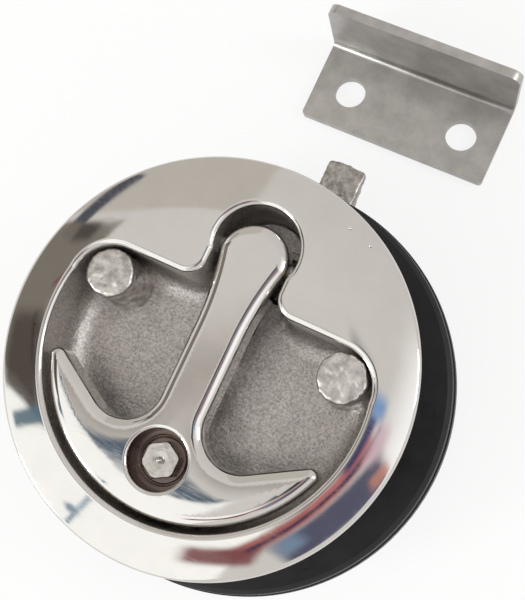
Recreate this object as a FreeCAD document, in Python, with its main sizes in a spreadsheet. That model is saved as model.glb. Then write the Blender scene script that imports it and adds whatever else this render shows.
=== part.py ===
"""Flush T-handle slam latch: round flanged cup, anchor-shaped lift handle, sprung bolt and strike angle.

Frame: origin on the flange's axis at its seat face, +Z out of the flange towards the user,
+Y along the handle's stem towards the bolt.  Millimetres.
"""
import FreeCAD
import Part
import Sketcher
import math
import os
from FreeCAD import Vector

doc = FreeCAD.newDocument("slam_latch")
sheet = doc.addObject("Spreadsheet::Sheet", "sizes")

# Driving dimensions, in millimetres, degrees or plain counts
SIZES = [
    ("barrel_diameter", 94.6, "threaded barrel, to pass a 95.5 mm cut-out"),
    ("flange_overlap", 6.7, "flange beyond the barrel, all round"),
    ("crown_share", 0.72, "flat crown as a share of the barrel"),
    ("flange_diameter", "=barrel_diameter + 2 * flange_overlap", "outside of the round flange"),
    ("flange_edge", 1.6, "height of the flange's outer edge"),
    ("flange_height", 4.3, "height of the flange's flat crown over the seat face"),
    ("crown_radius", "=barrel_diameter * crown_share / 2", "where the crown starts to fall towards the edge"),
    ("edge_round", 0.6, "chamfer of the flange's outer edge"),
    ("barrel_wall", 4.4, "wall of the barrel below the cup"),
    ("barrel_length", 55.5, "seat face to the barrel's rear end"),
    ("cup_depth", 16.5, "seat face to the cup's floor"),
    ("floor_wall", 3.5, "thickness of the cup's floor"),
    ("bowl_round", 4.5, "slope between the cup's floor and wall"),
    ("opening_margin", 4.9, "opening's lower arc inside the barrel"),
    ("opening_radius", "=barrel_diameter / 2 - opening_margin", "lower arc of the opening"),
    ("shoulder_radius", 10.6, "arc around each cast boss"),
    ("keyhole_radius", 11.2, "round head of the opening"),
    ("keyhole_inset", 10.8, "keyhole's centre inside the opening's lower arc"),
    ("keyhole_place", "=opening_radius - keyhole_inset", "axis of the flange to the keyhole's centre"),
    ("shoulder_share", 0.576, "shoulders as a share of the way to the keyhole's centre"),
    ("neck_share", 0.418, "neck's round as a share of the neck's length"),
    ("shoulder_top", "=keyhole_place * shoulder_share", "upper edge of the shoulders, along the stem"),
    ("neck_width", 20.6, "narrowest width between shoulders and keyhole"),
    ("neck_round", "=(keyhole_place - shoulder_top) * neck_share", "round from the neck to the shoulder"),
    ("boss_diameter", 13.0, "round cast boss"),
    ("boss_drop", 7.6, "upper edge of the shoulders down to the bosses"),
    ("boss_share", 0.9, "bosses' place as a share of the opening's radius"),
    ("boss_inset", 4.96, "bosses inside that share"),
    ("boss_spacing", "=2 * (opening_radius * boss_share - boss_inset)", "boss to boss"),
    ("boss_place", "=shoulder_top - boss_drop", "axis of the flange to the line of the bosses"),
    ("boss_top", 1.8, "top of the bosses over the seat face"),
    ("boss_round", 0.9, "chamfer of the bosses' tops"),
    ("handle_top", 3.0, "handle's face over the seat face"),
    ("handle_thickness", 9.0, "stem and flukes"),
    ("handle_gap", 1.4, "groove between the flukes and the opening"),
    ("head_radius", 9.3, "rounded head of the stem"),
    ("head_back", 3.0, "keyhole's centre back to the head's"),
    ("head_place", "=keyhole_place - head_back", "axis of the flange to the head's centre"),
    ("stem_width", 13.2, "width of the stem"),
    ("flare_length", 20.6, "length over which the stem widens"),
    ("stem_flare_start", "=head_place - flare_length", "where the stem starts to widen towards its head"),
    ("fluke_round", 9.8, "round between the stem and a fluke"),
    ("crotch_share", 0.7, "how far the flukes' roots pass the lock's hole"),
    ("fluke_angle", 31.0, "slope of a fluke's inner edge"),
    ("fluke_inset", 7.6, "end of a fluke's inner edge inside the lower arc"),
    ("fluke_reach", "=opening_radius - fluke_inset", "axis to the end of a fluke's inner edge"),
    ("tip_angle", 20.5, "direction of a fluke's tip below the cross axis"),
    ("tip_round", 2.4, "blunt end of a fluke"),
    ("handle_round", 1.3, "chamfer of the handle's upper edge"),
    ("pin_diameter", 5.0, "handle pin"),
    ("pin_back", 1.6, "keyhole's centre back to the pin"),
    ("pin_place", "=keyhole_place - pin_back", "axis of the flange to the handle pin"),
    ("pin_depth", 5.0, "seat face down to the handle pin"),
    ("pin_length", 31.0, "handle pin"),
    ("running_gap", 0.06, "radial play of a shaft in its hole"),
    ("lever_reach", 17.0, "pin to the centre of the lever's round end"),
    ("lever_width", 6.4, "lever below the handle's head, along the stem"),
    ("lever_thickness", 8.0, "lever, across the stem"),
    ("hub_radius", 5.2, "hub around the pin below the head"),
    ("hub_width", 12.8, "hub around the pin below the head"),
    ("slot_width", 18.0, "slot in the cup's floor"),
    ("slot_back", 23.5, "pin back to the floor slot's near end"),
    ("slot_start", "=pin_place - slot_back", "axis to the near end of the floor slot"),
    ("slot_front", 7.0, "pin to the floor slot's far end"),
    ("slot_end", "=pin_place + slot_front", "axis to the far end of the floor slot"),
    ("rest_width", 8.0, "square rest under the stem"),
    ("rest_gap", 2.5, "rest back from the floor slot"),
    ("rest_play", 0.3, "play between the rest and the handle"),
    ("lock_inset", 15.4, "lock inside the opening's lower arc"),
    ("lock_place", "=opening_radius - lock_inset", "axis of the flange to the lock spindle"),
    ("lock_hole", 15.8, "round recess around the lock post"),
    ("lock_recess", 7.0, "depth of the recess below the handle's face"),
    ("lock_boss_diameter", 19.0, "boss under the handle for the spindle"),
    ("lock_boss_depth", 11.8, "seat face to the boss's lower face"),
    ("hex_width", 8.5, "across the flats of the lock post"),
    ("hex_top", 0.5, "seat face down to the post's end"),
    ("hex_chamfer", 0.8, "chamfer of the post's end"),
    ("spindle_diameter", 13.0, "round shoulder of the lock spindle"),
    ("spindle_square", 6.0, "square end that carries the cam"),
    ("spindle_end", 15.8, "seat face to the spindle's lower end"),
    ("cam_thickness", 2.0, "lock cam"),
    ("cam_width", 8.0, "tongue of the lock cam"),
    ("cam_reach", 18.4, "spindle to the tip of the cam's tongue"),
    ("cam_hub", 6.4, "radius of the cam's round hub"),
    ("keeper_play", 0.5, "keeper slot beyond the tongue's tip"),
    ("keeper_room", 1.2, "keeper slot's height beyond the tongue"),
    ("clip_radius", 5.1, "spring clip under the cam"),
    ("clip_thickness", 1.0, "spring clip under the cam"),
    ("mark_radius", 0.9, "centre mark of the lock post"),
    ("mark_depth", 0.8, "centre mark of the lock post"),
    ("cam_gap", 0.2, "play between cam, boss and keeper slot"),
    ("seal_section", 1.6, "rubber ring in the spindle's groove"),
    ("seal_share", 0.8, "seal as squeezed in its groove"),
    ("seal_drop", 2.2, "shoulder's top down to the seal's groove"),
    ("gasket_step", 1.45, "gasket outside the barrel"),
    ("gasket_inside", "=barrel_diameter + 2 * gasket_step", "flange gasket"),
    ("gasket_set", 1.75, "gasket inside the flange's edge"),
    ("gasket_outside", "=flange_diameter - 2 * gasket_set", "flange gasket"),
    ("gasket_recess", 0.8, "depth of the gasket's recess"),
    ("gasket_thickness", 1.2, "flange gasket"),
    ("ring_width", 14.8, "clamp ring's front edge outside the barrel"),
    ("ring_front_diameter", "=barrel_diameter + 2 * ring_width", "front edge of the clamp ring"),
    ("ring_draft", 1.9, "slope of the clamp ring's edge"),
    ("ring_rear_diameter", "=ring_front_diameter + 2 * ring_draft", "rear edge of the clamp ring"),
    ("ring_thickness", 8.2, "clamp ring"),
    ("ring_inset", 6.7, "clamp ring's front face before the barrel's end"),
    ("ring_place", "=barrel_length - ring_inset", "seat face to the clamp ring's front face"),
    ("ring_gap", 0.3, "radial play of the ring on the thread's crests"),
    ("ring_rim_wall", 3.0, "moulded walls of the clamp ring"),
    ("ring_web", 3.2, "face plate of the clamp ring"),
    ("ring_ribs", 12.0, "ribs behind the clamp ring's face plate"),
    ("ring_groove", 0.9, "groove around the clamp ring's edge"),
    ("ring_edge", 1.0, "chamfer of the clamp ring's front edge"),
    ("ring_rib", 1.6, "ribs' thickness"),
    ("frame_wall", 2.5, "sheet of the mechanism frame"),
    ("frame_share", 0.444, "mechanism frame as a share of the barrel"),
    ("frame_width", "=barrel_diameter * frame_share", "mechanism frame across its ears"),
    ("ear_inset", 13.8, "ears' inner faces inside the barrel's outside"),
    ("frame_ear_place", "=barrel_diameter / 2 - ear_inset", "axis to the ears' inner faces"),
    ("frame_ear_depth", 46.0, "seat face to the ears' lower ends"),
    ("rod_diameter", 5.0, "guide rods of the yoke"),
    ("rod_end", 1.6, "guide rods beyond the ears"),
    ("rod_inset", 4.0, "rods inside the frame's sides"),
    ("rod_spacing", "=frame_width - 2 * rod_inset", "rod to rod"),
    ("rod_over", 8.0, "rods above the ears' lower ends"),
    ("rod_depth", "=frame_ear_depth - rod_over", "seat face to the rods"),
    ("yoke_wall", 3.0, "plate of the yoke"),
    ("yoke_play", 0.3, "gap between the lever and the yoke"),
    ("yoke_web_width", 16.0, "web of the yoke"),
    ("yoke_tongue_width", 8.0, "tongue of the yoke in the bolt"),
    ("beam_rise", 7.0, "yoke's beam above the rods"),
    ("yoke_beam_depth", "=rod_depth - beam_rise", "seat face to the top of the yoke's beam"),
    ("yoke_beam_height", 14.0, "beam of the yoke"),
    ("beam_overhang", 6.0, "yoke's beam outside the rods"),
    ("yoke_beam_width", "=rod_spacing + 2 * beam_overhang", "beam of the yoke"),
    ("bush_diameter", 8.0, "bushes in the yoke"),
    ("bush_length", 14.0, "bushes in the yoke"),
    ("eye_wall", 1.6, "yoke's walls around the bushes"),
    ("yoke_head", 0.5, "cup's floor down to the yoke's upper end"),
    ("tongue_clear", 1.5, "yoke's tongue above the bolt's under side"),
    ("pull_travel", 14.8, "yoke's travel at full lift"),
    ("slam_travel", 14.5, "bolt's own sprung travel"),
    ("plate_thickness", 2.7, "guide plate behind the barrel"),
    ("housing_step", 2.6, "housing smaller than the barrel"),
    ("housing_diameter", "=barrel_diameter - housing_step", "bolt housing and rear cover"),
    ("housing_depth", 17.3, "bolt housing"),
    ("housing_face", 2.0, "face plate of the housing over its cores"),
    ("housing_wall", 4.2, "outer wall of the bolt housing"),
    ("channel_wall", 3.0, "walls beside the bolt's channel"),
    ("cover_thickness", 2.5, "rear cover"),
    ("bolt_width", 12.7, "bolt"),
    ("bolt_height", 12.0, "bolt"),
    ("bolt_play", 0.3, "gap around the bolt in its channel"),
    ("bolt_reach", 28.4, "bolt's tip outside the barrel"),
    ("bolt_tip_place", "=barrel_diameter / 2 + bolt_reach", "axis of the flange to the bolt's tip"),
    ("seat_inset", 4.7, "bolt spring's seat inside the housing's outside"),
    ("seat_gap", 4.0, "seat to the bolt's tail at full travel"),
    ("bolt_tail_place", "=housing_diameter / 2 - seat_inset - pull_travel - slam_travel - seat_gap",
     "axis of the flange back to the bolt's tail"),
    ("bolt_bevel_length", 17.0, "bevel behind the bolt's tip"),
    ("bolt_nose", 3.2, "thickness left at the bolt's tip"),
    ("bolt_corner", 1.6, "rounding of the bolt's tip corners"),
    ("bolt_edge", 0.5, "rounding of the bolt's long edges"),
    ("spring_diameter", 8.0, "bolt spring"),
    ("spring_wire", 1.0, "springs' wire"),
    ("spring_play", 0.4, "play inside and outside the bolt spring"),
    ("pin_grip", 3.0, "spring pin in the housing's wall"),
    ("pin_short", 1.0, "spring pin short of the bore's floor"),
    ("bore_back", 14.0, "handle pin back to the floor of the spring's bore"),
    ("spring_bore_depth", "=pin_place + bolt_tail_place - bore_back", "depth of the spring's bore in the bolt"),
    ("spring_turns", 11.0, "bolt spring"),
    ("return_spring_diameter", 8.4, "yoke springs"),
    ("return_spring_turns", 10.0, "yoke springs"),
    ("wing_width", 11.2, "mechanism frame's wings under the bosses"),
    ("screw_inset", 7.5, "screws inside the housing's outside"),
    ("screw_circle", "=housing_diameter - 2 * screw_inset", "pitch circle of the housing screws"),
    ("screw_angle", 40.0, "housing screws from the cross axis"),
    ("screw_column", 10.0, "columns inside the barrel"),
    ("core_margin", 4.6, "wall left around the cores behind the flange"),
    ("core_roof", 1.2, "seat face to the cores' roof"),
    ("strike_length", 64.8, "strike angle"),
    ("strike_leg", 29.8, "flat leg, front edge to outer bend face"),
    ("strike_height", 28.3, "upright leg"),
    ("strike_sheet", 3.0, "sheet of the strike angle"),
    ("strike_bend", 1.6, "inner bend radius"),
    ("strike_corner", 3.5, "round corners of the upright leg"),
    ("strike_foot_corner", 1.2, "round corners of the flat leg"),
    ("strike_hole", 10.2, "holes in the flat leg"),
    ("strike_spacing", 40.0, "hole to hole"),
    ("strike_hole_edge", 12.6, "front edge to the line of holes"),
    ("strike_shift", 6.7, "strike's middle off the latch's centre line"),
    ("strike_gap", 14.8, "bolt's tip to the loose strike"),
    ("strike_front", "=bolt_tip_place + strike_gap", "axis of the flange to the strike's front edge"),
]


class Size:
    """A number that remembers the spreadsheet formula it came from."""

    def __init__(self, value, text):
        self.value = value
        self.text = text

    def join(self, other, sign, value):
        return Size(value, "(" + self.text + " " + sign + " " + as_size(other).text + ")")

    def __add__(self, other):
        return self.join(other, "+", self.value + as_size(other).value)

    def __sub__(self, other):
        return self.join(other, "-", self.value - as_size(other).value)

    def __mul__(self, other):
        return self.join(other, "*", self.value * as_size(other).value)

    def __truediv__(self, other):
        return self.join(other, "/", self.value / as_size(other).value)

    def __radd__(self, other):
        return as_size(other) + self

    def __rsub__(self, other):
        return as_size(other) - self

    def __rmul__(self, other):
        return as_size(other) * self

    def __neg__(self):
        return Size(-self.value, "(0 - " + self.text + ")")


def as_size(number):
    if isinstance(number, Size):
        return number
    return Size(float(number), repr(float(number)))


def root(size):
    return Size(math.sqrt(size.value), "sqrt(" + size.text + ")")


def cosine(size):
    return Size(math.cos(math.radians(size.value)), "cos(" + size.text + " * 1 deg)")


def sine(size):
    return Size(math.sin(math.radians(size.value)), "sin(" + size.text + " * 1 deg)")


class Sizes:
    """The driving dimensions by name."""


for row, (name, value, note) in enumerate(SIZES, start=1):
    sheet.set("A" + str(row), name)
    sheet.setAlias("B" + str(row), name)
    sheet.set("C" + str(row), note)
for row, (name, value, note) in enumerate(SIZES, start=1):
    sheet.set("B" + str(row), str(value))
doc.recompute()
for name, value, note in SIZES:
    setattr(Sizes, name, Size(float(sheet.get(name)), "sizes." + name))
D = Sizes


def bind(obj, path, size):
    """Set one property of an object from a size and keep the formula on it."""
    obj.setExpression(path, as_size(size).text)


def place(obj, x=0, y=0, z=0):
    """Put an object at a point, keeping its rotation."""
    obj.Placement.Base = Vector(as_size(x).value, as_size(y).value, as_size(z).value)
    bind(obj, "Placement.Base.x", x)
    bind(obj, "Placement.Base.y", y)
    bind(obj, "Placement.Base.z", z)


def turn(obj, axis, degrees):
    """Rotate an object about an axis through its own origin."""
    obj.Placement.Rotation = FreeCAD.Rotation(axis, degrees)


ALONG_X = (Vector(0, 1, 0), 90)
ALONG_Y = (Vector(1, 0, 0), -90)


# Primitives and booleans
def box(name, length, width, height, x, y, z):
    """A box by its lowest corner."""
    obj = doc.addObject("Part::Box", name)
    bind(obj, "Length", length)
    bind(obj, "Width", width)
    bind(obj, "Height", height)
    place(obj, x, y, z)
    return obj


def cylinder(name, radius, length, x=0, y=0, z=0, along=None):
    """A cylinder from its foot, along +Z, or along ALONG_X or ALONG_Y."""
    obj = doc.addObject("Part::Cylinder", name)
    bind(obj, "Radius", radius)
    bind(obj, "Height", length)
    if along:
        turn(obj, *along)
    place(obj, x, y, z)
    return obj


def fuse(name, shapes):
    obj = doc.addObject("Part::MultiFuse", name)
    obj.Shapes = shapes
    obj.Refine = True
    return obj


def cut(name, base, tools):
    """The base with every tool taken out of it."""
    tool = tools[0]
    if len(tools) > 1:
        tool = fuse(name + "_tools", tools)
    obj = doc.addObject("Part::Cut", name)
    obj.Base = base
    obj.Tool = tool
    obj.Refine = True
    return obj


def group(name, shapes):
    """Separate solids that share one node."""
    obj = doc.addObject("Part::Compound", name)
    obj.Links = shapes
    return obj


# How far a cutting form reaches past the face that it cuts
PAST = 1
# Steps of the slope from the flange's edge to its crown
DOME_SHARES = (0.7, 0.4)
# Straight runs in each turn of a spring
RUNS_PER_TURN = 8


# Sketches and part design features
class Loop:
    """A closed outline of lines and arcs whose corners and radii are sizes."""

    def __init__(self, x, y):
        self.points = [(as_size(x), as_size(y))]
        self.edges = []

    def line(self, x, y):
        self.points.append((as_size(x), as_size(y)))
        self.edges.append(None)
        return self

    def arc(self, x, y, radius, left=True, large=False):
        """An arc to a corner; left keeps the centre on the left of the way there."""
        self.points.append((as_size(x), as_size(y)))
        self.edges.append((as_size(radius), left, large))
        return self

    def close(self):
        self.edges.append(None)
        return self

    def middle(self, start, end, radius, left, large):
        """A point halfway along an arc."""
        chord = end - start
        half = chord.Length / 2
        side = Vector(-chord.y, chord.x, 0).normalize() * (1 if left else -1)
        rise = math.sqrt(max(radius * radius - half * half, 0.0))
        centre = (start + end) * 0.5 + side * (-rise if large else rise)
        return centre - side * radius

    def draw(self, sketch):
        """Add the outline to a sketch with every corner and radius constrained."""
        count = len(self.edges)
        corners = [Vector(x.value, y.value, 0) for x, y in self.points]
        first = sketch.GeometryCount
        for index, edge in enumerate(self.edges):
            start = corners[index]
            end = corners[(index + 1) % len(corners)]
            if edge is None:
                sketch.addGeometry(Part.LineSegment(start, end), False)
                continue
            radius, left, large = edge
            through = self.middle(start, end, radius.value, left, large)
            sketch.addGeometry(Part.Arc(start, through, end), False)
        ends = [self.ends(sketch, first + index, corners[index]) for index in range(count)]
        for index in range(count):
            following = (index + 1) % count
            sketch.addConstraint(Sketcher.Constraint(
                "Coincident", first + index, ends[index][1], first + following, ends[following][0]))
        for index, (x, y) in enumerate(self.points[:count]):
            self.fix(sketch, "DistanceX", first + index, ends[index][0], x)
            self.fix(sketch, "DistanceY", first + index, ends[index][0], y)
        for index, edge in enumerate(self.edges):
            if edge is not None:
                number = sketch.addConstraint(
                    Sketcher.Constraint("Radius", first + index, edge[0].value))
                bind(sketch, "Constraints[" + str(number) + "]", edge[0])

    def ends(self, sketch, index, start):
        """The vertex numbers at the start and end of an edge, in the outline's order."""
        gap = (sketch.getPoint(index, 1) - start).Length
        return (1, 2) if gap < 1e-5 else (2, 1)

    def fix(self, sketch, kind, index, vertex, size):
        if abs(size.value) < 1e-9 and size.text == "0.0":
            other = "PointOnObject"
            axis = -2 if kind == "DistanceX" else -1
            sketch.addConstraint(Sketcher.Constraint(other, index, vertex, axis))
            return
        number = sketch.addConstraint(
            Sketcher.Constraint(kind, -1, 1, index, vertex, size.value))
        bind(sketch, "Constraints[" + str(number) + "]", size)


class Circle:
    """A circle whose centre and radius are sizes."""

    def __init__(self, x, y, radius):
        self.x = as_size(x)
        self.y = as_size(y)
        self.radius = as_size(radius)

    def draw(self, sketch):
        centre = Vector(self.x.value, self.y.value, 0)
        index = sketch.addGeometry(Part.Circle(centre, Vector(0, 0, 1), self.radius.value), False)
        Loop.fix(self, sketch, "DistanceX", index, 3, self.x)
        Loop.fix(self, sketch, "DistanceY", index, 3, self.y)
        number = sketch.addConstraint(Sketcher.Constraint("Radius", index, self.radius.value))
        bind(sketch, "Constraints[" + str(number) + "]", self.radius)


def body(name):
    return doc.addObject("PartDesign::Body", name)


def sketch_on(owner, name, plane, outlines, offset=0):
    """A sketch on one of the body's origin planes, shifted along the plane's normal."""
    sketch = owner.newObject("Sketcher::SketchObject", name)
    role = [item for item in owner.Origin.OriginFeatures if item.Role == plane][0]
    sketch.AttachmentSupport = [(role, "")]
    sketch.MapMode = "FlatFace"
    bind(sketch, "AttachmentOffset.Base.z", offset)
    for outline in outlines:
        outline.draw(sketch)
    return sketch


def prism(owner, kind, name, outlines, offset, length, plane="XY_Plane", reverse=False, both=False):
    """A pad or pocket of the outlines, away from the sketch plane at an offset."""
    feature = owner.newObject("PartDesign::" + kind, name)
    feature.Profile = sketch_on(owner, name + "_sketch", plane, outlines, offset)
    bind(feature, "Length", length)
    feature.Reversed = reverse
    feature.Midplane = both
    return feature


def pad(owner, name, outlines, offset, length, **options):
    return prism(owner, "Pad", name, outlines, offset, length, **options)


def pocket(owner, name, outlines, offset, length, **options):
    return prism(owner, "Pocket", name, outlines, offset, length, **options)


def spin(owner, kind, name, outline):
    """A revolution or groove of a half section about the latch's axis."""
    feature = owner.newObject("PartDesign::" + kind, name)
    sketch = sketch_on(owner, name + "_sketch", "XZ_Plane", [outline])
    feature.Profile = sketch
    feature.ReferenceAxis = (sketch, ["V_Axis"])
    feature.Angle = 360
    return feature


def edges_where(feature, test):
    """The names of the feature's edges that pass a test."""
    doc.recompute()
    names = []
    for index, edge in enumerate(feature.Shape.Edges, start=1):
        if test(edge):
            names.append("Edge" + str(index))
    return names


def soften(owner, kind, name, feature, test, size):
    """Round or chamfer the edges of the last feature that pass a test."""
    names = edges_where(feature, test)
    if not names:
        raise ValueError("no edges found for " + name)
    soft = owner.newObject("PartDesign::" + kind, name)
    soft.Base = (feature, names)
    bind(soft, "Radius" if kind == "Fillet" else "Size", size)
    owner.Tip = soft
    return soft


def level_at(height):
    """A test for edges that lie flat at a height."""
    def test(edge):
        box_of_edge = edge.BoundBox
        return abs(box_of_edge.ZMin - height.value) < 0.02 and abs(box_of_edge.ZMax - height.value) < 0.02
    return test


# Places that several pieces share
barrel_radius = D.barrel_diameter / 2
barrel_inside = barrel_radius - D.barrel_wall
cup_floor = -D.cup_depth
floor_under = cup_floor - D.floor_wall
pin_height = -D.pin_depth
handle_under = D.handle_top - D.handle_thickness
plate_top = -D.barrel_length
plate_under = plate_top - D.plate_thickness
cover_top = plate_under - D.housing_depth
rear_face = cover_top - D.cover_thickness
bolt_top = plate_under - D.bolt_play
bolt_under = bolt_top - D.bolt_height
bolt_middle = bolt_top - D.bolt_height / 2
rod_height = -D.rod_depth
yoke_back = D.pin_place - D.lever_width / 2 - D.yoke_play - D.yoke_wall
yoke_front = yoke_back + D.yoke_wall
screw_x = D.screw_circle / 2 * cosine(D.screw_angle)
screw_y = D.screw_circle / 2 * sine(D.screw_angle)
housing_radius = D.housing_diameter / 2
pin_radius = D.spring_diameter / 2 - D.spring_wire - D.spring_play


def opening_outline():
    """The opening in the flange: a lower arc, two shoulders, a neck and a round head."""
    edge_x = D.opening_radius
    shoulder_x = edge_x - D.shoulder_radius
    shoulder_low = D.shoulder_top - D.shoulder_radius
    low_x = root(D.opening_radius * D.opening_radius - shoulder_low * shoulder_low)
    neck = D.neck_width / 2
    neck_y = D.keyhole_place - root(D.keyhole_radius * D.keyhole_radius - neck * neck)
    turn_y = D.shoulder_top + D.neck_round
    turn_x = neck + D.neck_round
    loop = Loop(low_x, shoulder_low)
    loop.arc(low_x - D.shoulder_radius, D.shoulder_top, D.shoulder_radius)
    loop.line(turn_x, D.shoulder_top)
    loop.arc(neck, turn_y, D.neck_round, left=False)
    loop.line(neck, neck_y)
    loop.arc(-neck, neck_y, D.keyhole_radius, large=True)
    loop.line(-neck, turn_y)
    loop.arc(-turn_x, D.shoulder_top, D.neck_round, left=False)
    loop.line(D.shoulder_radius - low_x, D.shoulder_top)
    loop.arc(-low_x, shoulder_low, D.shoulder_radius)
    loop.edges.append((D.opening_radius, True, True))
    return loop


def casting():
    """Turned form of flange and barrel, before the cup is taken out."""
    owner = body("casting")
    flange = D.flange_diameter / 2
    rim = flange - D.edge_round
    fall = D.flange_height - D.flange_edge
    run = rim - D.crown_radius
    section = Loop(0, floor_under)
    section.line(barrel_inside, floor_under)
    section.line(barrel_inside, -D.barrel_length)
    section.line(barrel_radius, -D.barrel_length)
    section.line(barrel_radius, 0)
    section.line(flange, 0)
    section.line(flange, D.flange_edge - D.edge_round)
    section.line(rim, D.flange_edge)
    for share in DOME_SHARES:
        section.line(D.crown_radius + run * share, D.flange_height - fall * share * share)
    section.line(D.crown_radius, D.flange_height)
    section.line(0, D.flange_height)
    section.close()
    spin(owner, "Revolution", "turned_form", section)
    return owner


def cup_form():
    """The hollow of the cup as a solid, round at its lower edge."""
    owner = body("cup_form")
    blank = pad(owner, "hollow", [opening_outline()], cup_floor, D.flange_height + PAST + D.cup_depth)
    soften(owner, "Chamfer", "bowl", blank, level_at(cup_floor), D.bowl_round)
    return owner


def flange_cup():
    """Flange, cup and barrel in one casting."""
    hollow = cup_form()
    blank = cut("flange_blank", casting(), [hollow])
    blank.Refine = False
    doc.recompute()
    owner = body("flange_cup")
    owner.BaseFeature = blank
    bosses = pad(owner, "bosses", boss_circles(D.boss_diameter / 2), cup_floor, D.boss_top + D.cup_depth)
    soften(owner, "Chamfer", "boss_edges", bosses, level_at(D.boss_top), D.boss_round)

    slot = rectangle(-D.slot_width / 2, D.slot_start, D.slot_width / 2, D.slot_end)
    pocket(owner, "floor_slot", [slot], cup_floor + PAST, D.floor_wall + 2 * PAST)
    rest_half = D.rest_width / 2
    rest_end = D.slot_start - D.rest_gap
    rest = rectangle(-rest_half, rest_end - D.rest_width, rest_half, rest_end)
    pad(owner, "stem_rest", [rest], cup_floor, handle_under + D.cup_depth - D.rest_play)

    core_low = D.shoulder_top + D.core_margin
    core_near = D.keyhole_radius + D.core_margin
    core_radius = barrel_inside
    core_far = root(core_radius * core_radius - core_low * core_low)
    core_high = root(core_radius * core_radius - core_near * core_near)
    right = Loop(core_near, core_low)
    right.line(core_far, core_low)
    right.arc(core_near, core_high, core_radius)
    right.close()
    left = Loop(-core_near, core_low)
    left.line(-core_near, core_high)
    left.arc(-core_far, core_low, core_radius)
    left.close()
    pocket(owner, "cores", [right, left], floor_under, -floor_under - D.core_roof, reverse=True)

    bore = Circle(D.pin_place, pin_height, D.pin_diameter / 2)
    pocket(owner, "pin_bore", [bore], 0, D.pin_length + 2 * PAST, plane="YZ_Plane", both=True)

    keeper_top = -D.lock_boss_depth + D.cam_gap
    keeper = Circle(0, -D.lock_place, D.cam_reach + D.keeper_play)
    pocket(owner, "keeper_slot", [keeper], keeper_top, D.cam_thickness + D.keeper_room)

    pad(owner, "columns", column_squares(), -D.barrel_length, D.barrel_length + floor_under)

    recess = Loop(D.gasket_inside / 2, 0)
    recess.line(D.gasket_outside / 2, 0)
    recess.line(D.gasket_outside / 2, D.gasket_recess)
    recess.line(D.gasket_inside / 2, D.gasket_recess)
    recess.close()
    owner.Tip = spin(owner, "Groove", "gasket_recess_cut", recess)
    return owner


def boss_circles(radius):
    return [Circle(D.boss_spacing / 2, D.boss_place, radius),
            Circle(-D.boss_spacing / 2, D.boss_place, radius)]


def rectangle(x_low, y_low, x_high, y_high):
    loop = Loop(x_low, y_low)
    loop.line(x_high, y_low)
    loop.line(x_high, y_high)
    loop.line(x_low, y_high)
    return loop.close()


def handle_outline():
    """Anchor shape: round head, waisted stem and two flukes on the opening's lower arc."""
    outer = D.opening_radius - D.handle_gap
    half = D.stem_width / 2
    rise = D.head_place - D.stem_flare_start
    flare = (rise * rise + (D.head_radius - half) * (D.head_radius - half)) / (2 * (D.head_radius - half))
    low = -(D.lock_place - D.lock_hole / 2 - D.fluke_round * D.crotch_share)
    fillet_x = half + D.fluke_round
    fluke_x = fillet_x + D.fluke_round * sine(D.fluke_angle)
    fluke_y = low - D.fluke_round * cosine(D.fluke_angle)
    slope = sine(D.fluke_angle) / cosine(D.fluke_angle)
    end_y = fluke_y + (D.fluke_reach - fluke_x) * slope
    tip_x = outer * cosine(D.tip_angle)
    tip_y = -(outer * sine(D.tip_angle))
    loop = Loop(D.head_radius, D.head_place)
    loop.arc(0, D.head_place + D.head_radius, D.head_radius)
    loop.arc(-D.head_radius, D.head_place, D.head_radius)
    loop.arc(-half, D.stem_flare_start, flare, left=False)
    loop.line(-half, low)
    loop.arc(-fluke_x, fluke_y, D.fluke_round, left=False)
    loop.line(-D.fluke_reach, end_y)
    loop.arc(-tip_x, tip_y, D.tip_round)
    loop.arc(tip_x, tip_y, outer)
    loop.arc(D.fluke_reach, end_y, D.tip_round)
    loop.line(fluke_x, fluke_y)
    loop.arc(half, low, D.fluke_round, left=False)
    loop.line(half, D.stem_flare_start)
    loop.edges.append((flare, False, False))
    return loop


def handle():
    """T handle with the lever under its head and the lock's boss under its crossbar."""
    owner = body("handle")
    pad(owner, "anchor", [handle_outline()], handle_under, D.handle_thickness - D.handle_round)
    face = pad(owner, "sloped_edge", [handle_outline()], D.handle_top - D.handle_round, D.handle_round)
    face.TaperAngle = -45

    half = D.lever_width / 2
    end = pin_height - D.lever_reach
    lever = Loop(D.pin_place - half, handle_under + PAST)
    lever.line(D.pin_place - half, end)
    lever.arc(D.pin_place, end - half, half)
    lever.arc(D.pin_place + half, end, half)
    lever.line(D.pin_place + half, handle_under + PAST)
    lever.close()
    pad(owner, "lever", [lever], 0, D.lever_thickness, plane="YZ_Plane", both=True)
    hub = Circle(D.pin_place, pin_height, D.hub_radius)
    pad(owner, "hub", [hub], 0, D.hub_width, plane="YZ_Plane", both=True)
    barrel = Circle(0, -D.lock_place, D.lock_boss_diameter / 2)
    pad(owner, "lock_boss", [barrel], -D.lock_boss_depth, D.lock_boss_depth + handle_under + PAST)

    pin_hole = Circle(D.pin_place, pin_height, D.pin_diameter / 2 + D.running_gap)
    pocket(owner, "pin_hole", [pin_hole], 0, D.head_radius * 2 + 2 * PAST, plane="YZ_Plane", both=True)
    recess = Circle(0, -D.lock_place, D.lock_hole / 2)
    pocket(owner, "lock_recess_cut", [recess], D.handle_top, D.lock_recess)
    bore = Circle(0, -D.lock_place, D.spindle_diameter / 2 + D.running_gap)
    through = pocket(owner, "spindle_bore", [bore], D.handle_top, D.handle_top + D.lock_boss_depth + PAST)
    owner.Tip = through
    return owner


def hexagon(width):
    """A hexagon by its width across the flats, with two flats square to X."""
    corner = width / root(as_size(3))
    outline = Loop(width / 2, corner / 2)
    outline.line(0, corner)
    outline.line(-width / 2, corner / 2)
    outline.line(-width / 2, -corner / 2)
    outline.line(0, -corner)
    outline.line(width / 2, -corner / 2)
    return outline.close()


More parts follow.
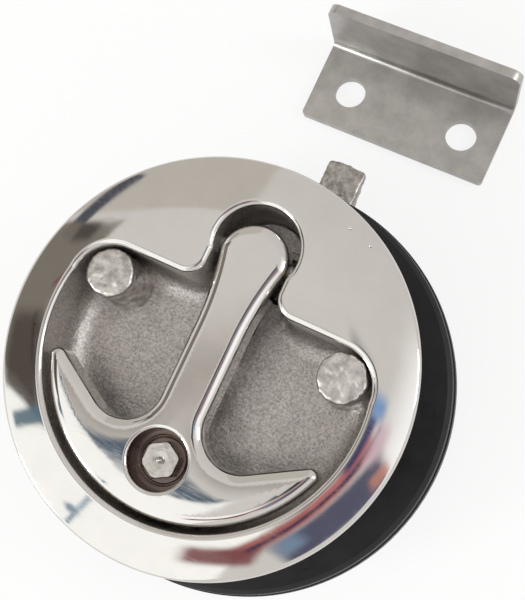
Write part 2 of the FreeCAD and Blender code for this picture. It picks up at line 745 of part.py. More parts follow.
def lock_spindle():
    """Hexagon post with a turned shoulder, a seal groove and a square end for the cam."""
    owner = body("lock_spindle")
    shoulder = D.spindle_diameter / 2
    shoulder_top = D.handle_top - D.lock_recess
    groove_top = shoulder_top - D.seal_drop
    groove_floor = shoulder - D.running_gap - D.seal_section * D.seal_share
    section = Loop(0, -D.lock_boss_depth)
    section.line(shoulder, -D.lock_boss_depth)
    section.line(shoulder, groove_top - D.seal_section)
    section.line(groove_floor, groove_top - D.seal_section)
    section.line(groove_floor, groove_top)
    section.line(shoulder, groove_top)
    section.line(shoulder, shoulder_top - D.hex_chamfer)
    section.line(shoulder - D.hex_chamfer, shoulder_top)
    section.line(0, shoulder_top)
    section.close()
    spin(owner, "Revolution", "shoulder", section)
    post = pad(owner, "post", [hexagon(D.hex_width)], shoulder_top, -D.hex_top - shoulder_top)
    soften(owner, "Chamfer", "post_end", post, level_at(-D.hex_top), D.hex_chamfer)
    centre = Circle(0, 0, D.mark_radius)
    pocket(owner, "centre_mark", [centre], -D.hex_top, D.mark_depth)
    half = D.spindle_square / 2
    square = rectangle(-half, -half, half, half)
    end = pad(owner, "square_end", [square], -D.spindle_end, D.spindle_end - D.lock_boss_depth)
    owner.Tip = end
    place(owner, 0, -D.lock_place, 0)
    return owner


def lock_cam():
    """Flat tongue on the spindle's square, pointing along +X when unlocked."""
    owner = body("lock_cam")
    hub = D.cam_hub
    half = D.cam_width / 2
    meet = root(hub * hub - half * half)
    tip = root(D.cam_reach * D.cam_reach - half * half)
    outline = Loop(meet, -half)
    outline.line(tip, -half)
    outline.arc(tip, half, D.cam_reach)
    outline.line(meet, half)
    outline.edges.append((hub, True, True))
    inner = D.spindle_square / 2
    square = rectangle(-inner, -inner, inner, inner)
    pad(owner, "plate", [outline, square], -D.lock_boss_depth - D.cam_gap - D.cam_thickness, D.cam_thickness)
    place(owner, 0, -D.lock_place, 0)
    return owner


def lock_clip():
    """Spring clip below the cam."""
    top = -D.lock_boss_depth - D.cam_gap - D.cam_thickness
    disc = cylinder("clip_disc", D.clip_radius, D.clip_thickness, 0, -D.lock_place,
                    top - D.clip_thickness)
    inner = D.spindle_square / 2
    hole = box("clip_hole", D.spindle_square, D.spindle_square * 2, 3 * D.clip_thickness,
               -inner, -D.lock_place - inner, top - 2 * D.clip_thickness)
    return cut("lock_clip", disc, [hole])


def lock_seal():
    """Rubber ring in the spindle's groove."""
    under = D.handle_top - D.lock_recess - D.seal_drop - D.seal_section
    ring = D.seal_section * D.seal_share
    outer = D.spindle_diameter / 2 - D.running_gap
    band = cylinder("seal_band", outer, ring, 0, -D.lock_place, under + (D.seal_section - ring) / 2)
    hole = cylinder("seal_hole", outer - ring, D.seal_section * 2, 0, -D.lock_place, under - D.seal_section / 2)
    return cut("lock_oring", band, [hole])


def handle_pin():
    return cylinder("handle_pin", D.pin_diameter / 2, D.pin_length,
                    -D.pin_length / 2, D.pin_place, pin_height, ALONG_X)


def flange_gasket():
    under = D.gasket_recess - D.gasket_thickness
    disc = cylinder("gasket_disc", D.gasket_outside / 2, D.gasket_thickness, 0, 0, under)
    hole = cylinder("gasket_hole", D.gasket_inside / 2, D.gasket_thickness + 2 * PAST, 0, 0, under - PAST)
    return cut("flange_gasket", disc, [hole])


def clamp_ring():
    """Moulded ring nut: face plate, inner sleeve, outer rim and ribs behind."""
    owner = body("clamp_ring")
    bore = barrel_radius + D.ring_gap
    front = -D.ring_place
    rear = front - D.ring_thickness
    front_radius = D.ring_front_diameter / 2
    rear_radius = D.ring_rear_diameter / 2
    step = (rear_radius - front_radius) / 2
    middle = front - D.ring_thickness / 2
    notch = D.ring_groove / 2
    section = Loop(bore, rear)
    section.line(bore + D.ring_rim_wall, rear)
    section.line(bore + D.ring_rim_wall, front - D.ring_web)
    section.line(front_radius - D.ring_rim_wall, front - D.ring_web)
    section.line(rear_radius - D.ring_rim_wall, rear)
    section.line(rear_radius, rear)
    section.line(rear_radius - step / 2, middle - notch)
    section.line(front_radius + step / 3, middle - notch)
    section.line(front_radius + step / 3, middle + notch)
    section.line(front_radius + step, middle + notch)
    section.line(front_radius + step / 2, front - D.ring_edge)
    section.line(front_radius - D.ring_edge, front)
    section.line(bore, front)
    section.close()
    spin(owner, "Revolution", "ring_section", section)
    inner = bore + D.ring_rim_wall / 2
    outer = front_radius - D.ring_rim_wall / 2
    half = D.ring_rib / 2
    rib = pad(owner, "rib", [rectangle(inner, -half, outer, half)], rear + half,
              D.ring_thickness - D.ring_web)
    doc.recompute()
    ribs = owner.newObject("PartDesign::PolarPattern", "ribs")
    ribs.Originals = [rib]
    ribs.Axis = (rib.Profile[0], ["N_Axis"])
    ribs.Angle = 360
    bind(ribs, "Occurrences", D.ring_ribs)
    owner.Tip = ribs
    return owner


def mechanism_frame():
    """Folded sheet under the cup: a plate, two wings to the bosses and two ears for the rods."""
    half = D.frame_width / 2
    under = floor_under - D.frame_wall
    ear_y = D.frame_ear_place
    reach = ear_y + D.frame_wall
    wing = D.boss_spacing / 2 + D.wing_width / 2
    plate = box("frame_plate", D.frame_width, 2 * reach, D.frame_wall, -half, -reach, under)
    wings = box("frame_wings", 2 * wing, D.wing_width, D.frame_wall,
                -wing, D.boss_place - D.wing_width / 2, under)
    tall = under + D.frame_ear_depth
    front = box("frame_ear_front", D.frame_width, D.frame_wall, tall, -half, ear_y, -D.frame_ear_depth)
    rear = box("frame_ear_rear", D.frame_width, D.frame_wall, tall, -half, -reach, -D.frame_ear_depth)
    blank = fuse("frame_blank", [plate, wings, front, rear])
    tools = [box("frame_slot", D.slot_width, ear_y - D.slot_start, D.frame_wall + 2 * PAST,
                 -D.slot_width / 2, D.slot_start, under - PAST)]
    for name, side in (("right", 1), ("left", -1)):
        tools.append(cylinder("frame_rod_hole_" + name, D.rod_diameter / 2, 2 * reach + 2 * PAST,
                              D.rod_spacing / 2 * side, -reach - PAST, rod_height, ALONG_Y))
    return cut("mechanism_frame", blank, tools)


def guide_rods():
    reach = D.frame_ear_place + D.frame_wall + D.rod_end
    rods = []
    for name, side in (("rod_right", 1), ("rod_left", -1)):
        rods.append(cylinder(name, D.rod_diameter / 2, 2 * reach, D.rod_spacing / 2 * side, -reach,
                             rod_height, ALONG_Y))
    return group("guide_rods", rods)


def yoke():
    """Plate that the lever pushes back, with a beam on the rods and a tongue in the bolt."""
    beam_top = -D.yoke_beam_depth
    beam_under = beam_top - D.yoke_beam_height
    half = D.yoke_web_width / 2
    tongue = D.yoke_tongue_width / 2
    foot = bolt_under + D.tongue_clear
    web = box("yoke_web", D.yoke_web_width, D.yoke_wall, cup_floor - D.yoke_head - beam_top + PAST,
              -half, yoke_back, beam_top - PAST)
    beam = box("yoke_beam", D.yoke_beam_width, D.yoke_wall, D.yoke_beam_height,
               -D.yoke_beam_width / 2, yoke_back, beam_under)
    tail = box("yoke_tongue", D.yoke_tongue_width, D.yoke_wall, beam_under - foot + PAST,
               -tongue, yoke_back, foot)
    pieces = [web, beam, tail]
    tools = []
    start = yoke_back + D.yoke_wall / 2 - D.bush_length / 2
    for name, side in (("right", 1), ("left", -1)):
        x = D.rod_spacing / 2 * side
        eye = D.bush_diameter / 2 + D.eye_wall
        pieces.append(box("yoke_eye_" + name, 2 * eye, D.bush_length, 2 * eye,
                          x - eye, start, rod_height - eye))
        tools.append(cylinder("yoke_bore_" + name, D.bush_diameter / 2, D.bush_length + 2 * PAST,
                              x, start - PAST, rod_height, ALONG_Y))
    return cut("yoke", fuse("yoke_blank", pieces), tools)


def yoke_bushes():
    start = yoke_back + D.yoke_wall / 2 - D.bush_length / 2
    bushes = []
    for name, side in (("bush_right", 1), ("bush_left", -1)):
        x = D.rod_spacing / 2 * side
        sleeve = cylinder(name + "_sleeve", D.bush_diameter / 2, D.bush_length, x, start, rod_height, ALONG_Y)
        hole = cylinder(name + "_hole", D.rod_diameter / 2 + D.running_gap, D.bush_length + 2 * PAST,
                        x, start - PAST, rod_height, ALONG_Y)
        bushes.append(cut(name, sleeve, [hole]))
    return group("yoke_bushes", bushes)


def coil(name, radius, wire, turns, start, end, x, z):
    """A compression spring of square wire along Y, its turns drawn with short straight runs."""
    half = wire.value / 2
    middle = radius.value - half
    count = int(turns.value * RUNS_PER_TURN)
    step = (end.value - start.value - wire.value) / count
    rings = []
    for index in range(count + 1):
        angle = 2 * math.pi * index / RUNS_PER_TURN
        out = Vector(math.cos(angle), 0, math.sin(angle))
        along = Vector(0, half + step * index, 0)
        rings.append([along + out * (middle + a * half) + Vector(0, b * half, 0)
                      for a, b in ((-1, -1), (1, -1), (1, 1), (-1, 1))])
    faces = []
    for near, far in zip(rings, rings[1:]):
        for index in range(4):
            following = (index + 1) % 4
            faces.append(flat_face(near[index], near[following], far[following]))
            faces.append(flat_face(near[index], far[following], far[index]))
    for ends in (rings[0], rings[-1]):
        faces.append(flat_face(*ends))
    shell = Part.makeShell(faces)
    shell.sewShape()
    spring = doc.addObject("Part::Feature", name)
    spring.Shape = Part.makeSolid(shell)
    place(spring, x, start, z)
    return spring


def flat_face(*corners):
    points = list(corners)
    return Part.Face(Part.makePolygon(points + points[:1]))


def yoke_springs():
    start = -D.frame_ear_place
    end = yoke_back + D.yoke_wall / 2 - D.bush_length / 2
    springs = []
    for name, side in (("return_spring_right", 1), ("return_spring_left", -1)):
        springs.append(coil(name, D.return_spring_diameter / 2, D.spring_wire, D.return_spring_turns,
                            start, end, D.rod_spacing / 2 * side, rod_height))
    return group("yoke_springs", springs)


def bolt_spring():
    return coil("bolt_spring", D.spring_diameter / 2, D.spring_wire, D.spring_turns,
                spring_seat(), spring_floor(), as_size(0), bolt_middle)


def spring_seat():
    """Inner face of the housing's rear wall."""
    return D.seat_inset - housing_radius


def spring_floor():
    return -D.bolt_tail_place + D.spring_bore_depth


def bolt_spring_pin():
    """Pin in the housing's wall that keeps the spring straight."""
    return cylinder("bolt_spring_pin", pin_radius, D.pin_grip + D.spring_bore_depth - D.pin_short,
                    0, spring_seat() - D.pin_grip, bolt_middle, ALONG_Y)


def bolt():
    """Slam bolt: flat face forward, bevel behind its tip, window for the yoke's tongue."""
    owner = body("bolt")
    half = D.bolt_width / 2
    tip = D.bolt_tip_place
    side = Loop(-D.bolt_tail_place, bolt_under)
    side.line(tip - D.bolt_bevel_length, bolt_under)
    side.line(tip, bolt_top - D.bolt_nose)
    side.line(tip, bolt_top)
    side.line(-D.bolt_tail_place, bolt_top)
    side.close()
    bar = pad(owner, "bar", [side], 0, D.bolt_width, plane="YZ_Plane", both=True)

    def tip_corner(edge):
        span = edge.BoundBox
        return span.YMin > tip.value - 0.01 and span.XLength < 0.01

    rounded = soften(owner, "Fillet", "tip_corners", bar, tip_corner, D.bolt_corner)

    def long_edge(edge):
        span = edge.BoundBox
        flat = abs(span.ZMax - bolt_top.value) < 0.01 and span.ZLength < 0.01
        return flat and span.YMax > 0

    soften(owner, "Fillet", "front_edges", rounded, long_edge, D.bolt_edge)
    window_end = yoke_front + D.slam_travel + 0.5
    tongue = D.yoke_tongue_width / 2 + 0.3
    window = rectangle(-tongue, yoke_back - 0.3, tongue, window_end)
    pocket(owner, "window", [window], bolt_top + PAST, D.bolt_height + 2 * PAST)
    bore = Circle(0, bolt_middle, D.spring_diameter / 2 + D.spring_play)
    last = pocket(owner, "spring_bore", [bore], D.bolt_tail_place, D.spring_bore_depth,
                  plane="XZ_Plane", reverse=False)
    owner.Tip = last
    return owner


def column_squares():
    """Four square columns for the housing's screws."""
    half = D.screw_column / 2
    return [rectangle(x - half, y - half, x + half, y + half) for mark, x, y in screw_places()]


def screw_places():
    return (("a", screw_x, screw_y), ("b", -screw_x, screw_y),
            ("c", -screw_x, -screw_y), ("d", screw_x, -screw_y))


def guide_plate():
    """Flat disc between barrel and housing with the yoke's slot."""
    disc = cylinder("plate_disc", housing_radius, D.plate_thickness, 0, 0, plate_under)
    tongue = D.yoke_tongue_width / 2 + 0.4
    near = yoke_back - D.pull_travel - 0.5
    slot = box("plate_slot", 2 * tongue, yoke_front + 0.5 - near, D.plate_thickness + 2 * PAST,
               -tongue, near, plate_under - PAST)
    return cut("guide_plate", disc, [slot])


def bolt_housing():
    """Round block with the bolt's channel on top and cores behind."""
    block = cylinder("housing_block", housing_radius, D.housing_depth, 0, 0, cover_top)
    half = D.bolt_width / 2 + D.bolt_play
    depth = D.bolt_height + 2 * D.bolt_play
    channel = box("housing_channel", 2 * half, housing_radius + PAST - spring_seat(), depth + PAST,
                  -half, spring_seat(), plate_under - depth)
    pin_hole = cylinder("housing_pin_hole", pin_radius, 2 * D.pin_grip,
                        0, spring_seat() - D.pin_grip, bolt_middle, ALONG_Y)
    tools = [channel, pin_hole]
    inner = half + D.channel_wall
    core_radius = housing_radius - D.housing_wall
    for name, side in (("right", 1), ("left", -1)):
        core = cylinder("housing_core_round_" + name, core_radius, D.housing_depth - D.housing_face,
                        0, 0, cover_top - PAST)
        far = core_radius + PAST
        start = inner if side > 0 else -far
        keep = box("housing_core_side_" + name, far - inner, 2 * core_radius, D.housing_depth,
                   start, -core_radius, cover_top - 2 * PAST)
        common = doc.addObject("Part::MultiCommon", "housing_core_" + name)
        common.Shapes = [core, keep]
        wide = D.screw_column
        columns = [box("housing_column_" + name + mark, wide, wide, D.housing_depth + 4 * PAST,
                       x - wide / 2, y - wide / 2, cover_top - 2 * PAST)
                   for mark, x, y in screw_places() if x.value * side > 0]
        tools.append(cut("housing_cavity_" + name, common, columns))
    return cut("bolt_housing", block, tools)


def rear_cover():
    """Flat disc behind the housing; the latch lies on it."""
    return cylinder("rear_cover", housing_radius, D.cover_thickness, 0, 0, rear_face)


def strike_plate():
    """Bent angle with two holes, lying on the same level as the latch's rear cover."""
    owner = body("strike_plate")
    sheet_radius = D.strike_bend + D.strike_sheet
    leg = D.strike_leg
    tall = D.strike_height
    section = Loop(0, 0)
    section.line(leg - sheet_radius, 0)
    section.arc(leg, sheet_radius, sheet_radius)
    section.line(leg, tall)
    section.line(leg - D.strike_sheet, tall)
    section.line(leg - D.strike_sheet, sheet_radius)
    section.arc(leg - sheet_radius, D.strike_sheet, D.strike_bend, left=False)
    section.line(0, D.strike_sheet)
    section.close()
    angle = pad(owner, "angle", [section], 0, D.strike_length, plane="YZ_Plane", both=True)

    def upright_corner(edge):
        span = edge.BoundBox
        return span.ZMin > tall.value - 0.01 and span.XLength < 0.01

    tops = soften(owner, "Fillet", "upright_corners", angle, upright_corner, D.strike_corner)

    def foot_corner(edge):
        span = edge.BoundBox
        return span.YMax < 0.01 and span.XLength < 0.01

    soften(owner, "Fillet", "foot_corners", tops, foot_corner, D.strike_foot_corner)
    half = D.strike_spacing / 2
    holes = [Circle(-half, D.strike_hole_edge, D.strike_hole / 2),
             Circle(half, D.strike_hole_edge, D.strike_hole / 2)]
    last = pocket(owner, "holes", holes, D.strike_sheet + PAST, D.strike_sheet + 2 * PAST)
    owner.Tip = last
    place(owner, D.strike_shift, D.strike_front, rear_face)
    return owner


nodes = [flange_cup(), handle(), handle_pin(), lock_spindle(), lock_seal(), lock_cam(), lock_clip(),
         flange_gasket(), clamp_ring(), mechanism_frame(), guide_rods(), yoke(), yoke_bushes(),
         yoke_springs(), bolt(), bolt_spring(), bolt_spring_pin(), guide_plate(), bolt_housing(),
         rear_cover(), strike_plate()]
doc.recompute()

for item in doc.Objects:
    if "Invalid" in item.State or "Error" in item.State:
        raise RuntimeError("failed object: " + item.Name + " " + str(item.State))
os.makedirs("parts", exist_ok=True)
for node in nodes:
    node.Label = node.Name
    shape = node.Shape
    if shape.isNull() or not shape.isValid():
        raise RuntimeError("bad shape: " + node.Name)
    shape.exportStep("parts/" + node.Name + ".step")
    print(node.Name, len(shape.Solids), round(shape.Volume, 1))
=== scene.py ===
"""Flush T-handle slam latch with its loose strike: the visible pieces and finishes round its frame."""

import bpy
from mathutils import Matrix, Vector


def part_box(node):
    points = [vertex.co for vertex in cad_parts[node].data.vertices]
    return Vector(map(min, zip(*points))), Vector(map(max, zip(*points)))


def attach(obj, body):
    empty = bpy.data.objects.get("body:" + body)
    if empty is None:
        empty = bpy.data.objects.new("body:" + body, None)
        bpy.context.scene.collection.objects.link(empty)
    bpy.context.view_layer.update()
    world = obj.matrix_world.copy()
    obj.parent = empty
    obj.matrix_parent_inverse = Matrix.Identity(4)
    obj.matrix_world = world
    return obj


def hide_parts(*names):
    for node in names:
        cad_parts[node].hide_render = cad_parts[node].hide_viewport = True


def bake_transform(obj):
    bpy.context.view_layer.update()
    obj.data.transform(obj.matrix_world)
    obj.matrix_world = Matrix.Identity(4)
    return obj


bl_info = {
    "name": "Flush slam latch",
    "version": (1, 0, 0),
    "blender": (4, 5, 0),
    "location": "View3D > Sidebar > Latch",
    "description": "Builds the visible pieces and finishes of a flush T-handle slam latch",
    "category": "Object",
}

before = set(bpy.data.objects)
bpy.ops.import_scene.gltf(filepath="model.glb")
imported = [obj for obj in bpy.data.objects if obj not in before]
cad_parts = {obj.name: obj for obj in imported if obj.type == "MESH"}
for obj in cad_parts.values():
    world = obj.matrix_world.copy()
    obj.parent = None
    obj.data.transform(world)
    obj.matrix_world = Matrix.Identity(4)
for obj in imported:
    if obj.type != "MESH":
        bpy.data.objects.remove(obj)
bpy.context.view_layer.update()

import math
from contextlib import contextmanager

import bmesh
import bpy
import numpy as np
from mathutils import Matrix, Vector
from mathutils.geometry import delaunay_2d_cdt

MM = 0.001
TAU = 2 * math.pi

# Places that several pieces share, in millimetres from the seat face and the barrel's axis
LOCK_Y = -27.0
LOCK_HOLE = 7.9
CUP_FLOOR = -16.5
FLOOR_UNDER = -20.0
BARREL_FOOT = -55.5
SEAT_REACH = 4.2
KEEPER_REACH = 19.2
KEEPER_NEAR = -36.0
ON_LINE = 1e-4


def side(part, axis, top=True):
    """One face of a CAD node's box, in metres."""
    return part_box(part)[1 if top else 0][axis]


def length(name, description, default):
    """A length property in metres."""
    return bpy.props.FloatProperty(name=name, description=description, default=default,
                                   subtype="DISTANCE", unit="LENGTH")


def tone(name, description, default):
    """A colour property as an sRGB hex value."""
    return bpy.props.StringProperty(name=name, description=description, default=default)


class LatchSizes(bpy.types.PropertyGroup):
    """Sizes that shape the dressed pieces, in metres."""

    flange_radius: length("Flange radius", "Outside of the round flange", side("flange_cup", 0))
    flange_height: length("Flange height", "Flat crown over the seat face", side("flange_cup", 2))
    lip_round: length("Lip round", "Polished rounding of the opening's edge", 1.25 * MM)
    edge_round: length("Edge round", "Rounding of the flange's outer edge", 0.9 * MM)
    bowl_round: length("Bowl round", "Round between the cup's wall and floor", 6.5 * MM)
    handle_top: length("Handle top", "Handle's face over the seat face", side("handle", 2))
    handle_edge: length("Handle edge", "Height of the handle's polished rounding", 1.9 * MM)
    thread_pitch: length("Thread pitch", "Pitch of the barrel's coarse thread", 4.0 * MM)
    cast_relief: length("Cast relief", "Height of the rough casting's lumps", 0.32 * MM)
    bevel: length("Small bevel", "Broken edges of sheet and moulding", 0.25 * MM)


class LatchColours(bpy.types.PropertyGroup):
    """Finishes as sRGB hex values."""

    polished: tone("Polished steel", "Mirror-polished casting", "#D6D4D1")
    blasted: tone("Blasted steel", "Bead-blasted cup", "#C9C4C0")
    cast: tone("Rough cast steel", "Bolt and casting", "#B2AEA9")
    rubbed: tone("Rubbed cast steel", "Bosses in the cup", "#D2CECA")
    turned: tone("Turned steel", "Lock post", "#D0CCC6")
    # painted shade: a dark, brownish turned steel for the deep parts round the post, which lie in shade
    greased: tone("Painted shade steel", "Deep parts round the post", "#7A6C66")
    satin: tone("Satin sheet", "Strike", "#BAB8B5")
    milled: tone("Milled steel", "Parts of the mechanism", "#A7A4A0")
    wire: tone("Spring wire", "Drawn spring steel", "#B5B2AD")
    alloy: tone("Cast alloy", "Housing and its plates", "#8E8F92")
    nylon: tone("Black nylon", "Clamp ring", "#171619")
    acetal: tone("Natural acetal", "Bushes", "#DAD8D0")
    rubber: tone("Black rubber", "Seals", "#1E1E1E")


# Outlines of the casting and the handle, in millimetres like the drawing


def arc(start, end, radius, left=True, large=False, step=0.4):
    """Points from start, up to but not with end, on an arc that turns left or right."""
    start, end = np.array(start, float), np.array(end, float)
    chord = end - start
    half = np.linalg.norm(chord) / 2
    across = np.array([-chord[1], chord[0]]) / (2 * half) * (1 if left else -1)
    rise = math.sqrt(max(radius * radius - half * half, 0))
    centre = (start + end) / 2 + across * (-rise if large else rise)
    first = math.atan2(*(start - centre)[::-1])
    last = math.atan2(*(end - centre)[::-1])
    if left and last <= first:
        last += TAU
    if not left and last >= first:
        last -= TAU
    count = max(2, int(abs(last - first) * radius / step))
    angles = first + (last - first) * np.arange(count) / count
    return centre + radius * np.column_stack([np.cos(angles), np.sin(angles)])


def run(start, end, step=0.4):
    """Points from start, up to but not with end, on a straight line."""
    start, end = np.array(start, float), np.array(end, float)
    count = max(1, int(np.linalg.norm(end - start) / step))
    return start + (end - start) * (np.arange(count) / count)[:, None]


def ring(x, y, radius, count):
    """Points round a circle."""
    angles = TAU * np.arange(count) / count
    return np.column_stack([x + radius * np.cos(angles), y + radius * np.sin(angles)])


def opening_outline():
    """Round cup opening with two shoulders, a neck and a keyhole head."""
    radius, shoulder, top = 42.4, 10.6, 18.2
    neck, keyhole, keyhole_y, neck_round = 10.3, 11.2, 31.6, 5.6
    low = top - shoulder
    low_x = math.sqrt(radius * radius - low * low)
    neck_y = keyhole_y - math.sqrt(keyhole * keyhole - neck * neck)
    turn_x, turn_y = neck + neck_round, top + neck_round
    return np.vstack([
        arc((low_x, low), (low_x - shoulder, top), shoulder),
        run((low_x - shoulder, top), (turn_x, top)),
        arc((turn_x, top), (neck, turn_y), neck_round, left=False),
        run((neck, turn_y), (neck, neck_y)),
        arc((neck, neck_y), (-neck, neck_y), keyhole, large=True),
        run((-neck, neck_y), (-neck, turn_y)),
        arc((-neck, turn_y), (-turn_x, top), neck_round, left=False),
        run((-turn_x, top), (shoulder - low_x, top)),
        arc((shoulder - low_x, top), (-low_x, low), shoulder),
        arc((-low_x, low), (low_x, low), radius, large=True),
    ])


def handle_outline():
    """Anchor: round head, waisted stem and two flukes on the opening's lower arc."""
    outer, half, head, head_y = 41.0, 6.6, 9.3, 28.6
    flare_y, round_in, round_share, slope = 8.0, 9.8, 0.7, math.radians(31)
    reach, tip, tip_round = 34.8, math.radians(20.5), 2.4
    rise = head_y - flare_y
    flare = (rise * rise + (head - half) ** 2) / (2 * (head - half))
    low = -(-LOCK_Y - LOCK_HOLE - round_in * round_share)
    head_arc = head * 1.0000001  # a hair over half its chord
    fluke = (half + round_in + round_in * math.sin(slope), low - round_in * math.cos(slope))
    end = (reach, fluke[1] + (reach - fluke[0]) * math.tan(slope))
    point = (outer * math.cos(tip), -outer * math.sin(tip))
    return np.vstack([
        arc((head, head_y), (-head, head_y), head_arc),
        arc((-head, head_y), (-half, flare_y), flare, left=False),
        run((-half, flare_y), (-half, low)),
        arc((-half, low), (-fluke[0], fluke[1]), round_in, left=False),
        run((-fluke[0], fluke[1]), (-end[0], end[1])),
        arc((-end[0], end[1]), (-point[0], point[1]), tip_round),
        arc((-point[0], point[1]), point, outer),
        arc(point, end, tip_round),
        run(end, fluke),
        arc(fluke, (half, low), round_in, left=False),
        run((half, low), (half, flare_y)),
        arc((half, flare_y), (head, head_y), flare, left=False),
    ])


def normals_of(loop, window=4):
    """Unit normals on the right of the way round, smoothed over a few neighbours."""
    ahead, back = np.roll(loop, -1, 0), np.roll(loop, 1, 0)
    way = ahead - back
    out = np.column_stack([way[:, 1], -way[:, 0]])
    out /= np.linalg.norm(out, axis=1)[:, None]
    total = sum(np.roll(out, shift, 0) for shift in range(-window, window + 1))
    return total / np.linalg.norm(total, axis=1)[:, None]


def nearest(points, loop):
    """Distance and direction away from a closed outline, for many points."""
    start, way = loop, np.roll(loop, -1, 0) - loop
    squared = (way * way).sum(1)
    distance = np.empty(len(points))
    away = np.zeros((len(points), 2))
    batch = 2000
    for first in range(0, len(points), batch):
        part = points[first:first + batch]
        offset = part[:, None, :] - start[None]
        share = np.clip((offset * way[None]).sum(2) / squared, 0, 1)
        rest = offset - share[..., None] * way[None]
        square = (rest * rest).sum(2)
        best = square.argmin(1)
        rows = np.arange(len(part))
        distance[first:first + batch] = np.sqrt(square[rows, best])
        away[first:first + batch] = rest[rows, best]
    clear = distance > ON_LINE / 100
    away[clear] /= distance[clear][:, None]
    return distance, away


def inside(points, loop):
    """Whether each point lies inside a closed outline."""
    result = np.zeros(len(points), bool)
    x, y = points[:, 0], points[:, 1]
    for (ax, ay), (bx, by) in zip(loop, np.roll(loop, -1, 0)):
        if ay != by:
            crosses = (ay > y) != (by > y)
            result ^= crosses & (x < (bx - ax) * (y - ay) / (by - ay) + ax)
    return result


# Mesh makers


def placed(name, data):
    """A new object with some data, in the scene."""
    made = bpy.data.objects.new(name, data)
    bpy.context.scene.collection.objects.link(made)
    return made


@contextmanager
def editing(source, target=None):
    """A mesh that is open for editing, then written back or to another."""
    bm = bmesh.new()
    bm.from_mesh(source)
    yield bm
    bm.to_mesh(source if target is None else target)
    bm.free()


def cut_off(bm, place, way):
    """Leave out what lies beyond a plane."""
    everything = bm.verts[:] + bm.edges[:] + bm.faces[:]
    bmesh.ops.bisect_plane(bm, geom=everything, plane_co=place, plane_no=way, clear_outer=True)


def push_out(mesh, skin):
    """Move a mesh's points along their normals by what skin gives for them, in millimetres."""
    points = np.array([v.co for v in mesh.vertices]) / MM
    out = np.array([v.normal for v in mesh.vertices])
    mesh.vertices.foreach_set("co", ((points + out * skin(points)[:, None]) * MM).ravel())


def new_piece(name, points, faces, normals=None, scale=MM):
    """A mesh object from millimetre points, smooth, with exact normals where they are known."""
    mesh = bpy.data.meshes.new(name)
    mesh.from_pydata([tuple(p * scale) for p in np.asarray(points, float)], [], [tuple(f) for f in faces])
    mesh.update()
    mesh.shade_smooth()
    if normals is not None:
        mesh.normals_split_custom_set_from_vertices([tuple(n) for n in normals])
    return placed(name, mesh)


def face_sheet(outer, holes, rows, spacing, height, extra=()):
    """Triangles over an area, dense along its outlines; height gives z and the slope of every point."""
    row_play, row_room, grid_room, row_rise = 0.02, 0.3, 0.5, 0.866
    loops = [outer, *holes]
    points = list(loops)
    for number, loop in enumerate(loops):
        inward = -normals_of(loop, 0) * (1 if number == 0 else -1)
        for row in rows:
            line = loop + inward * row
            keep = inside(line, outer)
            for other, border in enumerate(loops):
                near = nearest(line, border)[0]
                keep &= near > (row - row_play if other == number else row + spacing * row_room)
                if other:
                    keep &= ~inside(line, border)
            points.append(line[keep])
    low, high = outer.min(0), outer.max(0)
    xs = np.arange(low[0], high[0], spacing)
    ys = np.arange(low[1], high[1], spacing * row_rise)
    grid = np.array([(x + (spacing / 2 if j % 2 else 0), y) for j, y in enumerate(ys) for x in xs])
    keep = inside(grid, outer)
    for number, border in enumerate(loops):
        keep &= nearest(grid, border)[0] > rows[-1] + spacing * grid_room
        if number:
            keep &= ~inside(grid, border)
    points.append(grid[keep])
    points.extend(extra)
    flat = np.vstack(points)
    edges = []
    first = 0
    for loop in loops:
        count = len(loop)
        edges += [(first + i, first + (i + 1) % count) for i in range(count)]
        first += count
    made = delaunay_2d_cdt([Vector(p) for p in flat], edges, [], 0, 1e-5)
    flat = np.array([tuple(p) for p in made[0]])
    faces = np.array(made[2])
    middles = flat[faces].mean(1)
    keep = inside(middles, outer)
    for border in holes:
        keep &= ~inside(middles, border)
    faces = faces[keep]
    a, b, c = (flat[faces[:, i]] for i in range(3))
    turn = (b - a)[:, 0] * (c - a)[:, 1] - (b - a)[:, 1] * (c - a)[:, 0]
    whole = np.abs(turn) > 1e-9
    faces, turn = faces[whole], turn[whole]
    faces[turn < 0] = faces[turn < 0][:, ::-1]
    z, slope = height(flat)
    normals = np.column_stack([-slope, np.ones(len(flat))])
    normals /= np.linalg.norm(normals, axis=1)[:, None]
    starts = np.array([tuple(p) for p in np.vstack(loops)])
    order = [int(np.argmin(((flat - p) ** 2).sum(1))) for p in starts]
    return np.column_stack([flat, z]), faces, normals, order


def hang_wall(points, faces, normals, border, foot, flip=False):
    """A straight wall below a border of a sheet, down to a height."""
    base = len(points)
    below = points[border].copy()
    below[:, 2] = foot
    points = np.vstack([points, below])
    normals = np.vstack([normals, normals[border]])
    wall = []
    for i, corner in enumerate(border):
        j = (i + 1) % len(border)
        quad = (corner, base + i, base + j, border[j])
        wall.append(quad[::-1] if flip else quad)
    return points, list(map(tuple, faces)) + wall, normals


def quads(rows, count, flip=False):
    """Faces between rows of points, each row closed on itself."""
    faces = []
    for j in range(rows - 1):
        for i in range(count):
            k = (i + 1) % count
            a, b, c, d = j * count + i, j * count + k, (j + 1) * count + k, (j + 1) * count + i
            faces.append((a, d, c, b) if flip else (a, b, c, d))
    return faces


def lathe(name, profile, count, x=0.0, y=0.0, flip=False):
    """A turned form about an upright axis from (radius, height) pairs; a radius may differ round the turn."""
    rows = [np.column_stack([ring(x, y, radius, count), np.full(count, z)]) for radius, z in profile]
    return new_piece(name, np.vstack(rows), quads(len(rows), count, flip))


def cap(piece, count):
    """Close the last row of a turned form with one face."""
    with editing(piece.data) as bm:
        bm.faces.new(bm.verts[:][-count:])
        bmesh.ops.recalc_face_normals(bm, faces=bm.faces)
    piece.data.shade_smooth()
    return piece


def by_angle(piece, degrees=32):
    """Sharp shading across edges steeper than an angle."""
    mesh = piece.data
    mesh.shade_smooth()
    mesh.set_sharp_from_angle(angle=math.radians(degrees))
    return piece


